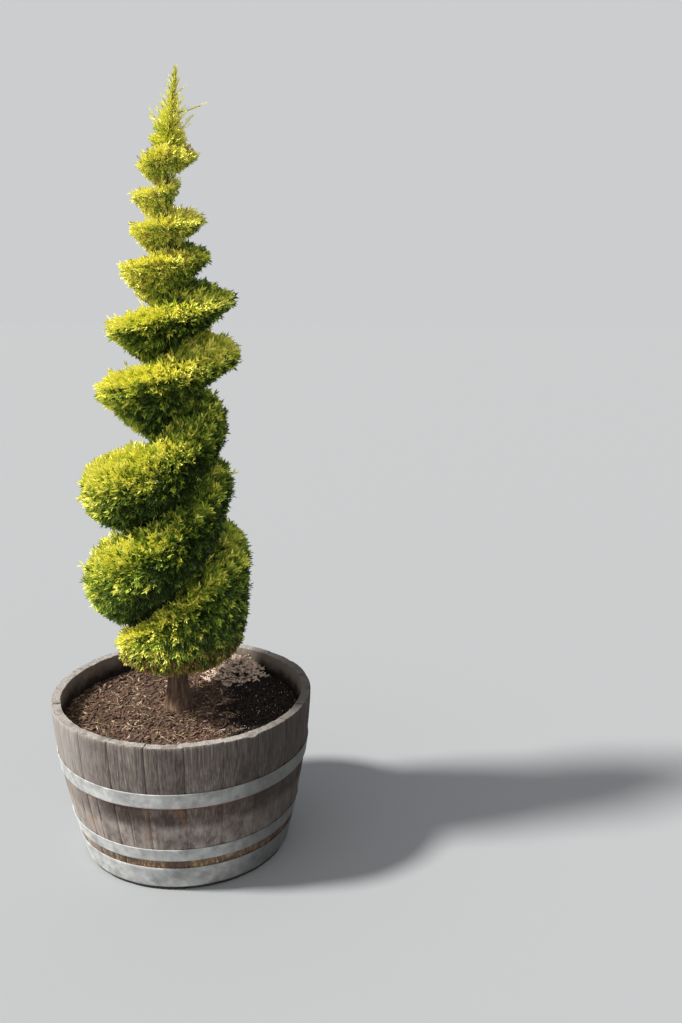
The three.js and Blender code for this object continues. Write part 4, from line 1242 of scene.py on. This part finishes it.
SPRAY_FACES = copied_faces(np.array([[0, 1, 2], [0, 2, 3]]), LEAFLETS, LEAFLET_CORNERS)
MOST_TRIANGLES = 190000
MOST_SPRAYS = MOST_TRIANGLES // len(SPRAY_FACES)
LEAF_ROUGHNESS = 0.6
LEAF_SPECULAR = 0.22
SHADES = [
    ("shade", "#303d17"), ("deep", "#455b22"), ("dark", "#5f782d"), ("mid", "#7d9538"),
    ("fresh", "#9db142"), ("lime", "#bfc94a"), ("gold_lime", "#e0e15b"), ("gold", "#f4ef73"),
    ("olive", "#a39244"), ("brown", "#8a6c3f"),
]
OLIVE, BROWN = 8, 9
SHADE_EDGES = np.array([0.13, 0.25, 0.36, 0.48, 0.60, 0.71, 0.81])
# Direction towards the sun whose light and shadow are painted into the leaves' shades
SUN = unit(np.array([-0.62, -0.12, 0.78]))
# Direction of the back, where painted shade falls on some turns
BEHIND = np.array([0.35, 0.94, 0])
# Turns and how much paler the leaves are there: partly paler young growth towards the top, partly painted
# light, most at the right end of turn 3.5
TONES = np.array([
    [-0.25, 0.10], [0.0, 0.16], [0.2, 0.10], [0.5, 0.03], [0.85, -0.09], [1.0, -0.13], [1.15, -0.07],
    [1.5, 0.0], [2.7, 0.03], [3.0, 0.13], [3.2, 0.12], [3.45, 0.32], [3.6, 0.3], [3.85, 0.09],
    [4.2, 0.10], [4.6, 0.17], [5.0, 0.47],
])
# Weights of the tone: the sun, top, west, edge and stand-out terms paint light, partly the real gold of
# sunlit growth; the underside, back, east and shadow terms paint shade
MEAN_LEVEL = 0.48
SUN_WEIGHT = 0.18
TOP_WEIGHT = 0.13
WEST_LIGHT_WEIGHT = 0.05
PATCH_WEIGHT = 0.09
FINE_WEIGHT = 0.14
LOW_WEST_LIGHT_WEIGHT = 0.14
EDGE_WEIGHT = 0.2
EDGE_MEAN = 0.6
# Painted shade beneath the turns, at the back and on the east of some turns, and in the sun's shadow
UNDERSIDE_SHADE_WEIGHT = 0.14
BACK_SHADE_WEIGHT = 0.5
EAST_SHADE_WEIGHT = 0.3
SHADOW_WEIGHT = 0.2
STAND_OUT_LIGHT_WEIGHT = 0.028
CHANCE_WEIGHT = 0.13
# Patches of tone: size and seed
PATCH = (46, 71)
FINE_PATCH = (18, 72)
# Where a part of the look sets in, by how far west, how low, how far out, how far under for the painted shade
# beneath, and how deep in a patch
WEST_SPAN = (0.5, 1.0)
LOW_SPAN = (0.0, 0.4)
EDGE_SPAN = (0.5, 0.95)
UNDERSIDE_SHADE_SPAN = (0.3, 0.9)
SCORCHED_SPAN = (0.25, 0.6)
# Spans of turns over which a part of the look begins and ends: painted shade beneath, at the back and on the
# east, the painted shadow falling to half, and scorched bits
UNDERSIDE_SHADE_TURNS = ((0.9, 1.5), (3.5, 4.2))
BACK_SHADE_TURNS = ((4.0, 4.3), (6.0, 6.3))
EAST_SHADE_TURNS = ((5.1, 5.35), (5.7, 5.95))
HALF_SHADOW_TURNS = (6.0, 6.6)
SCORCHED_TURNS = (4.7, 5.0)
SCORCHED_SHARE = 0.32
OLIVE_SHARE = 0.75
BROWN_SHARE = 0.4
BROWN_SPAN = 85.0
# Steps, depths and reach of the search towards the sun for the painted shadow
SHADOW_STEP = 15.0
SHADOW_STEPS = 22
SHADOW_DEPTHS = (12.0, 70.0)
SHADOW_SPAN = 190.0


class Leaves:
    """Collects sprays by shade and makes the joined pieces at the end."""

    def __init__(self):
        self.by_shade = {}

    def add(self, points, shades):
        for shade in np.unique(shades):
            self.by_shade.setdefault(int(shade), []).append(points[shades == shade])

    def make(self):
        for shade, batches in sorted(self.by_shade.items()):
            name, colour = SHADES[shade]
            sprays = np.concatenate(batches)
            pieces = -(-len(sprays) // MOST_SPRAYS)
            look = plain_material(f"leaf_{name}", colour, LEAF_ROUGHNESS, LEAF_SPECULAR)
            for index, share in enumerate(np.array_split(sprays, pieces)):
                title = f"leaves_{name}_{index + 1}"
                faces = copied_faces(SPRAY_FACES, len(share), share.shape[1])
                made = piece_of(title, share.reshape(-1, 3), faces, [look], "foliage", smooth=False)
                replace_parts(made, *MASSES, "leader")


def shadow_at(point):
    """From 0 where a point looks at the sun freely to 1 where the ramp lies deep between them."""
    depth = np.zeros(len(point))
    for step in range(1, SHADOW_STEPS + 1):
        at = point + SUN * SHADOW_STEP * step
        x, y = trunk_centre(at[:, 2])
        radius = np.hypot(at[:, 0] - x, at[:, 1] - y)
        part = (np.arctan2(at[:, 1] - y, at[:, 0] - x) - LEFT_AZIMUTH) / (2 * np.pi) % 1
        for whole in range(math.floor(RAMP_FIRST_TURN), math.ceil(RAMP_LAST_TURN)):
            turn = part + whole
            level = at[:, 2] - BARREL_HEIGHT - ramp_height(turn)
            near = (turn > RAMP_FIRST_TURN) & (turn < RAMP_LAST_TURN) & (np.abs(level) < SHADOW_SPAN)
            low, high = limits(turn[near], radius[near])
            within = (at[near, 2] > low) & (at[near, 2] < high) & (radius[near] < ramp_reach(turn[near]))
            depth[near] += SHADOW_STEP * within
    return smooth_step(depth, *SHADOW_DEPTHS)


def between(turn, begin, end):
    """1 between two spans of turns and 0 away from them."""
    return smooth_step(turn, *begin) * (1 - smooth_step(turn, *end))


def shade_of(places, stand, random):
    """The shade of each spray by chance and by its lie to the sun, its place in the turn and how it stands
    out, as painted light and shade.
    """
    turn, signed = places.turn, places.signed
    patch, fine = Patches(*PATCH)(places.point), Patches(*FINE_PATCH)(places.point)
    outward = outward_at(turn)
    west = -outward[:, 0]
    # Painted sunlight by the lie to the sun, on the tops and on the west side, partly the real gold of sunlit
    # growth
    level = MEAN_LEVEL + SUN_WEIGHT * (places.normal @ SUN) + TOP_WEIGHT * signed + WEST_LIGHT_WEIGHT * west
    level = level + PATCH_WEIGHT * patch + FINE_WEIGHT * fine + np.interp(turn, *TONES.T)
    # Painted light on the low west side
    level = level + LOW_WEST_LIGHT_WEIGHT * smooth_step(west, *WEST_SPAN) * smooth_step(-signed, *LOW_SPAN)
    # Paler rims on the tops: partly young growth, partly painted light
    rim = smooth_step(places.radius / ramp_reach(turn), *EDGE_SPAN)
    edge = np.where(signed > 0, EDGE_WEIGHT * (rim - EDGE_MEAN), 0)
    # Painted shade beneath, at the back and on the east side of some turns
    deep = UNDERSIDE_SHADE_WEIGHT * smooth_step(-signed, *UNDERSIDE_SHADE_SPAN) * between(turn, *UNDERSIDE_SHADE_TURNS)
    behind = BACK_SHADE_WEIGHT * np.clip(outward @ BEHIND, 0, 1) ** 2 * between(turn, *BACK_SHADE_TURNS)
    east = EAST_SHADE_WEIGHT * np.clip(outward[:, 0], 0, 1) ** 2 * between(turn, *EAST_SHADE_TURNS)
    # Painted shadow where the ramp stands between a spray and the sun
    shadow = SHADOW_WEIGHT * shadow_at(places.point) * (1 - smooth_step(turn, *HALF_SHADOW_TURNS) / 2)
    level = level + edge - deep - behind - east - shadow
    # Sprays that stand out are paler and sunken ones darker, as painted light and shade
    level = level + STAND_OUT_LIGHT_WEIGHT * stand + random.normal(0, CHANCE_WEIGHT, len(turn))
    shade = np.searchsorted(SHADE_EDGES, level)
    depth = np.clip(1 - (places.point[:, 2] - BARREL_HEIGHT - SKIRT_BOTTOM) / BROWN_SPAN, 0, 1)
    depth = np.where(turn < FIRST_COVERED_TURN, depth, 0)
    scorched = SCORCHED_SHARE * smooth_step(turn, *SCORCHED_TURNS) * smooth_step(fine, *SCORCHED_SPAN)
    for share, other in ((scorched, OLIVE), (OLIVE_SHARE * depth, OLIVE), (BROWN_SHARE * depth, BROWN)):
        shade = np.where(random.random(len(turn)) < share, other, shade)
    return shade


# Foliage

FOLIAGE_SEED = 2026
SPRAY_CELL = 7.1
CLUSTER_CELL = 27.0
INNER_CELL = 16.8
NORMAL_REACH = 20.0
TURN_REACH = 420.0
LEAST_DEPTH = 15.0
# Twigs end below the crown of their cluster, along the sprig and away from the core
SPRIG_SHARE = 0.55
CORE_SHARE = 0.65
TWIG_DEPTH = 1.45
TWIG_SAG = 0.03
TWIG_END_PART = 0.2
TWIG_RADII = (1.5, 0.7)
# Sprays on the outline
CLEFT_SHARE = 0.3
ROOT_SPREAD = 0.38
ROOT_JITTER = 2.2
TUFT_JITTER = 2.4
TUFT_SPAN = (-4.5, 3.5)
STAND_JITTER = 3.4
MEAN_INSET = 11.0
CLEFT_INSET = 0.15
UPWARD_BEND = 0.3
BEND_BIAS = 0.6
SHAGGY_TURNS = (4.9, 6.4)
WISP_SHARES = (0.09, 0.12)
WISP_LOWEST = -0.3
WISP_OPENNESS = 0.6
WISP_SPAN = (4.0, 13.0)
SHAGGY_WISP = 8.0
# Sprays inside the outline
INNER_CLEFT_SHARE = 0.6
INNER_DEPTHS = (0.3, 0.6)
INNER_SLANT = 0.35
INNER_LENGTH = 1.3
# Shares of the darkest shades for the inner sprays: painted shade of the inside, partly the greener inner
# growth. The shades added on the sunlit west and in the upper turns are painted light through the leaves
INNER_SHADES = [0.44, 0.38, 0.18]
SUNNY_SHADES = 2
SUNNY_SPAN = (0.6, 1.0)
UPPER_SHADES = 3
UPPER_TURNS = (4.6, 5.1)


def leaf_depth(turn):
    """How deep the sprays root below the outline, as a column."""
    depth = np.minimum(FOLIAGE_DEPTH, FOLIAGE_DEPTH_PART * ramp_reach(turn))
    return np.maximum(depth, LEAST_DEPTH)[:, None]


def by_turn(points, turn):
    """Points with the turn as a fourth measure, so that nothing is joined from one turn to the next."""
    return np.concatenate([points, TURN_REACH * turn[:, None]], axis=1)


def by_turn_and_normal(places):
    return np.concatenate([by_turn(places.point, places.turn), NORMAL_REACH * places.normal], axis=1)


class Limbs:
    """Boughs that leave the trunk all along the ramp, at one or more levels of its section."""

    FIRST_TURN = RAMP_FIRST_TURN + 0.03
    SPACING = 0.068
    LEVEL_SPACING = 62.0
    LEVEL_RADIUS = 0.62
    TURN_JITTER = 0.02
    LEVELS = (0.4, 0.6)
    REACHES = (0.48, 0.6)
    RISE = 0.22
    START_PART = 0.6
    START_JITTER = 0.03
    SAG = 0.05
    THICKNESS_PART = 0.42
    MOST_THICKNESS = 4.2
    THICKNESSES = (0.8, 1.1)
    TIP_PART = 0.4
    STATIONS = np.array([0.45, 0.65, 0.85, 1.0])

    def __init__(self, random):
        limbs = []
        for turn in np.arange(self.FIRST_TURN, RAMP_LAST_TURN, self.SPACING):
            here = np.array([turn])
            reach = ramp_reach(here)
            low, high = (float(value[0]) for value in limits(here, reach * self.LEVEL_RADIUS))
            levels = max(1, round((high - low) / self.LEVEL_SPACING))
            for level in range(levels):
                limb_turn = turn + random.uniform(-self.TURN_JITTER, self.TURN_JITTER)
                height = lerp(low, high, (level + random.uniform(*self.LEVELS)) / levels)
                limbs.append((limb_turn, height, float(reach[0]) * random.uniform(*self.REACHES)))
        turns, heights, reaches = np.array(limbs).T
        self.station_turns = np.repeat(turns, len(self.STATIONS))
        start_height = heights - self.RISE * reaches
        inside = trunk_radius(start_height) * self.START_PART
        start_turns = turns + random.uniform(-self.START_JITTER, self.START_JITTER, len(turns))
        self.starts = on_ramp(start_turns, inside, start_height)
        self.ends = on_ramp(turns, reaches, heights)
        self.bends = upright(-self.SAG * reaches)
        thickness = np.minimum(self.THICKNESS_PART * trunk_radius(heights), self.MOST_THICKNESS)
        self.start_radii = thickness * random.uniform(*self.THICKNESSES, len(turns))
        along = self.STATIONS[None, :, None]
        stations = bent(self.starts[:, None], self.ends[:, None], self.bends[:, None], along)
        self.stations = stations.reshape(-1, 3)

    def tubes(self):
        tip_radii = self.start_radii * self.TIP_PART
        return tubes(self.starts, self.ends, self.start_radii, tip_radii, self.bends, sides=6, rings=7)


def add_branches(clusters, bark, twig_look, random):
    """Adds boughs and twigs and gives the ends of the twigs below the crowns of their clusters."""
    sprigs = sprig_axes(clusters, random)
    from_core = unit(clusters.point - core_of(clusters.turn, clusters.radius))
    inward = unit(SPRIG_SHARE * sprigs + CORE_SHARE * from_core)
    ends = clusters.point - inward * leaf_depth(clusters.turn) * TWIG_DEPTH
    limbs = Limbs(random)
    stations = by_turn(limbs.stations, limbs.station_turns)
    starts = limbs.stations[nearest(by_turn(ends, clusters.turn), stations)]
    sag = upright(-TWIG_SAG * np.linalg.norm(ends - starts, axis=1))
    twigs = tubes(starts, lerp(ends, clusters.point, TWIG_END_PART), *TWIG_RADII, sag, sides=3, rings=4)
    boughs = piece_of("boughs", *limbs.tubes(), [bark], "bark")
    twig_piece = piece_of("twigs", *twigs, [twig_look], "bark")
    for piece in (boughs, twig_piece):
        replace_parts(piece, *MASSES)
    return ends


def outer_sprays(surface, clusters, ends, templates, random):
    """Points and shades of the sprays that make the outline, rooted round the twigs' ends."""
    chosen = one_per_cell(surface.point, SPRAY_CELL, random)
    kept = random.random(len(chosen)) < lerp(CLEFT_SHARE, 1, surface.openness[chosen])
    tips = surface.at(chosen[kept])
    count = len(tips.turn)
    cluster = nearest(by_turn_and_normal(tips), by_turn_and_normal(clusters))
    size = leaf_depth(tips.turn) / FOLIAGE_DEPTH
    spread = ROOT_SPREAD * (tips.point - clusters.point[cluster])
    roots = ends[cluster] + spread + random.normal(0, ROOT_JITTER, (count, 3))
    tuft = np.clip(random.normal(0, TUFT_JITTER, (len(ends), 1)), *TUFT_SPAN)[cluster]
    stand_out = random.normal(0, STAND_JITTER, (count, 1)) + tuft
    shades = shade_of(tips, stand_out[:, 0], random)
    inset = MEAN_INSET * lerp(CLEFT_INSET, 1, tips.openness)[:, None]
    reach = tips.point + tips.normal * (stand_out - inset) * size
    shaggy = smooth_step(tips.turn, *SHAGGY_TURNS)
    chance = random.random(count) < WISP_SHARES[0] + WISP_SHARES[1] * shaggy
    wisps = chance & (tips.signed > WISP_LOWEST) & (tips.openness > WISP_OPENNESS)
    least, most = WISP_SPAN
    stand = np.where(wisps, random.uniform(least, most + SHAGGY_WISP * shaggy), 0)[:, None]
    reach = reach + unit(reach - roots) * stand * size
    bend = UPWARD_BEND * np.linalg.norm(reach - roots, axis=1) * np.clip(BEND_BIAS + tips.signed, 0, 1)
    return spray_points(templates, roots, reach + upright(bend), random), shades


def inner_sprays(surface, templates, random):
    """Points and shades of the sprays that close the view into the foliage."""
    chosen = one_per_cell(surface.point, INNER_CELL, random)
    kept = random.random(len(chosen)) < lerp(INNER_CLEFT_SHARE, 1, surface.openness[chosen])
    inner = surface.at(chosen[kept])
    count = len(inner.turn)
    axes = unit(inner.point - core_of(inner.turn, inner.radius))
    depth = leaf_depth(inner.turn)
    tops = inner.point - inner.normal * depth * random.uniform(*INNER_DEPTHS, (count, 1))
    slanted = unit(axes + random.normal(0, INNER_SLANT, axes.shape))
    # Painted shade inside, paler on the sunlit west and in the upper turns as painted light through the
    # leaves
    shades = random.choice(len(INNER_SHADES), count, p=INNER_SHADES)
    sunny = SUNNY_SHADES * smooth_step(-outward_at(inner.turn)[:, 0], *SUNNY_SPAN)
    brighter = np.maximum(sunny, UPPER_SHADES * smooth_step(inner.turn, *UPPER_TURNS))
    shades = shades + np.round(brighter).astype(int)
    return spray_points(templates, tops - slanted * depth * INNER_LENGTH, tops, random), shades


def add_foliage(bark, twig_look, leaves):
    random = np.random.default_rng(FOLIAGE_SEED)
    templates = spray_templates(random)
    surface = Surface(random)
    clusters = surface.at(one_per_cell(surface.point, CLUSTER_CELL, random))
    ends = add_branches(clusters, bark, twig_look, random)
    leaves.add(*outer_sprays(surface, clusters, ends, templates, random))
    leaves.add(*inner_sprays(surface, templates, random))


# Leader: unclipped shoots round the top of the trunk

LEADER_SEED = 77
# Height above the rim and radius
LEADER_SLEEVE = np.array([
    [1350, 40], [1372, 33], [1392, 28], [1412, 25], [1436, 17], [1465, 8], [1496, 5],
], float)
SHOOTS = 34
SHOOT_LOWEST = LEADER_SLEEVE[0, 0] + 8
SHOOT_HIGHEST = LEADER_SLEEVE[-1, 0] - 6
SHOOT_TURN = 2.4
SHOOT_TURN_JITTER = 0.5
# At the foot and at the top of the leader
SHOOT_LENGTHS = (54.0, 13.0)
SHOOT_PITCHES = (0.7, 1.15)
LEADER_SPRAYS = (25.0, 11.0)
SHOOT_SPREAD = (0.85, 1.15)
SHOOT_SAG = 0.05
SHOOT_RADII = (1.2, 0.5)
SHOOT_SPRAYS = 9
FIRST_SHOOT_SPRAY = 0.22
SPRAY_JITTER = 0.42
JITTER_PARTS = (1.1, 0.4)
SPRAY_RISE = 0.25
SPRAY_SPREAD = (0.6, 1.0)
SHOOT_SHADES = ([5, 6, 7], [0.08, 0.27, 0.65])
# Height, azimuth, length and pitch
LONG_SHOOTS = np.array([[1418, 0.1, 72, 0.25], [1468, 0.2, 27, 1.0], [1452, -0.2, 32, 0.65]])
SLEEVE_SPRAYS = 760
SLEEVE_LOWEST = LEADER_SLEEVE[0, 0] - 6
SLEEVE_HIGHEST = TREE_TOP - BARREL_HEIGHT - 8
SLEEVE_CROWDING = 1.9
SLEEVE_RADII = (0.5, 1.1)
SLEEVE_RISE = 0.6
SLEEVE_SPREAD = (0.65, 1.0)
SLEEVE_ROOT_PART = 0.15
SLEEVE_ROOT_DROP = 4.0
SLEEVE_SHADES = ([3, 4, 5, 6, 7], [0.03, 0.06, 0.12, 0.27, 0.52])
TIP_SPRAYS = 34
TIP_SPAN = 64.0
TIP_RADIUS_PART = 0.55


def leader_spray_size(height):
    return lerp(*LEADER_SPRAYS, smooth_step(height, *LEADER_SLEEVE[[0, -2], 0]))


def shoot_sprays(templates, twig_look, random):
    """Adds the shoots and gives the points and shades of the sprays along them."""
    part = (np.arange(SHOOTS) + 0.5) / SHOOTS
    height = lerp(SHOOT_LOWEST, SHOOT_HIGHEST, part)
    azimuth = SHOOT_TURN * np.arange(SHOOTS) + random.uniform(0, SHOOT_TURN_JITTER, SHOOTS)
    length = lerp(*SHOOT_LENGTHS, part) * random.uniform(*SHOOT_SPREAD, SHOOTS)
    rows = [height, azimuth, length, lerp(*SHOOT_PITCHES, part)]
    height, azimuth, length, pitch = np.concatenate([rows, LONG_SHOOTS.T], axis=1)
    starts = round_trunk(azimuth, 0, BARREL_HEIGHT + height)
    axes = polar(azimuth, np.cos(pitch), np.sin(pitch))
    ends = starts + axes * length[:, None]
    bends = upright(-SHOOT_SAG * length)
    shoots = tubes(starts, ends, *SHOOT_RADII, bends, sides=5, rings=6)
    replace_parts(piece_of("leader_shoots", *shoots, [twig_look], "bark"), "leader")
    along = np.tile(np.linspace(FIRST_SHOOT_SPRAY, 1.0, SHOOT_SPRAYS), len(starts))[:, None]
    owner = np.repeat(np.arange(len(starts)), SHOOT_SPRAYS)
    roots = bent(starts[owner], ends[owner], bends[owner], along)
    jitter = random.normal(0, SPRAY_JITTER, roots.shape) * lerp(*JITTER_PARTS, along)
    aims = unit(axes[owner] + jitter + [0, 0, SPRAY_RISE])
    size = leader_spray_size(height)[owner] * random.uniform(*SPRAY_SPREAD, len(roots))
    shades, shares = SHOOT_SHADES
    shades = random.choice(shades, len(roots), p=shares)
    return spray_points(templates, roots, roots + aims * size[:, None], random), shades


def sleeve_sprays(templates, random):
    """Points and shades of the sprays that clothe the top of the trunk up to its tip."""
    height = lerp(SLEEVE_LOWEST, SLEEVE_HIGHEST, random.random(SLEEVE_SPRAYS) ** SLEEVE_CROWDING)
    height[:TIP_SPRAYS] = SLEEVE_HIGHEST - random.uniform(0, TIP_SPAN, TIP_SPRAYS)
    radius = np.interp(height, *LEADER_SLEEVE.T) * random.uniform(*SLEEVE_RADII, SLEEVE_SPRAYS)
    azimuth = random.uniform(0, 2 * np.pi, SLEEVE_SPRAYS)
    z = BARREL_HEIGHT + height
    size = leader_spray_size(height)
    rise = np.minimum(SLEEVE_RISE * size * random.uniform(*SLEEVE_SPREAD, SLEEVE_SPRAYS), TREE_TOP - z)
    rise[:TIP_SPRAYS] = np.minimum(size, TREE_TOP - z)[:TIP_SPRAYS]
    radius[:TIP_SPRAYS] *= TIP_RADIUS_PART
    tips = round_trunk(azimuth, radius, z) + upright(rise)
    roots = round_trunk(azimuth, SLEEVE_ROOT_PART * radius, z) - [0, 0, SLEEVE_ROOT_DROP]
    shades, shares = SLEEVE_SHADES
    shades = random.choice(shades, SLEEVE_SPRAYS, p=shares)
    return spray_points(templates, roots, tips, random), shades


def add_leader(twig_look, leaves):
    random = np.random.default_rng(LEADER_SEED)
    templates = spray_templates(random)
    leaves.add(*shoot_sprays(templates, twig_look, random))
    leaves.add(*sleeve_sprays(templates, random))


# Stage, in metres

CAMERA_PLACE = (0.414, -2.653, 1.62)
CAMERA_PITCH = math.radians(15.2)
FOCAL_PIXELS = 1100.0
IMAGE_HEIGHT = 1023.0
SENSOR = 36.0
# Place that a sun shines from, strength, angular size and colour
SUNS = {
    "key": ((-3.1, -0.7, 3.5), 6.6, math.radians(8), (1.0, 0.98, 0.94)),
    "fill": ((-2.4, -3.4, 1.6), 0.5, math.radians(60), (1.0, 0.98, 0.95)),
}
FLOOR_HALF = 14.0
FLOOR_COLOUR = "#8e9092"
SKY_COLOUR = (0.84, 0.85, 0.87, 1)
SKY_STRENGTH = 0.72


def linked(name, data):
    made = bpy.data.objects.new(name, data)
    bpy.context.scene.collection.objects.link(made)
    return made


def add_camera():
    data = bpy.data.cameras.new("camera")
    data.sensor_width = SENSOR
    data.lens = SENSOR * FOCAL_PIXELS / IMAGE_HEIGHT
    camera = linked("camera", data)
    camera.location = CAMERA_PLACE
    camera.rotation_euler = (math.pi / 2 - CAMERA_PITCH, 0, 0)
    bpy.context.scene.camera = camera


def add_sun(name, place, strength, angle, colour):
    data = bpy.data.lights.new(name, "SUN")
    data.energy = strength
    data.angle = angle
    data.color = colour
    light = linked(name, data)
    light.location = place
    x, y, z = place
    light.rotation_euler = (math.atan2(math.hypot(x, y), z), 0, math.atan2(x, -y))


def add_stage():
    mesh = bpy.data.meshes.new("floor")
    corners = [(-1, -1), (1, -1), (1, 1), (-1, 1)]
    mesh.from_pydata([(x * FLOOR_HALF, y * FLOOR_HALF, 0) for x, y in corners], [], [(0, 1, 2, 3)])
    mesh.materials.append(plain_material("floor_pale", FLOOR_COLOUR, roughness=0.9, specular=0.1))
    floor = linked("floor", mesh)
    for name, settings in SUNS.items():
        add_sun(name, *settings)
    world = bpy.data.worlds.new("studio")
    world.use_nodes = True
    sky = world.node_tree.nodes["Background"]
    sky.inputs["Color"].default_value = SKY_COLOUR
    sky.inputs["Strength"].default_value = SKY_STRENGTH
    bpy.context.scene.world = world
    bpy.context.scene.view_settings.view_transform = "Standard"


add_camera()
add_stage()
add_barrel()
steel = galvanised_steel()
for hoop_name in HOOP_EDGES:
    add_hoop(hoop_name, steel)
add_soil(compost_material())
add_mulch()
bark = bark_material()
twig_look = twig_material()
add_trunk(bark)
leaves = Leaves()
add_foliage(bark, twig_look, leaves)
add_leader(twig_look, leaves)
leaves.make()
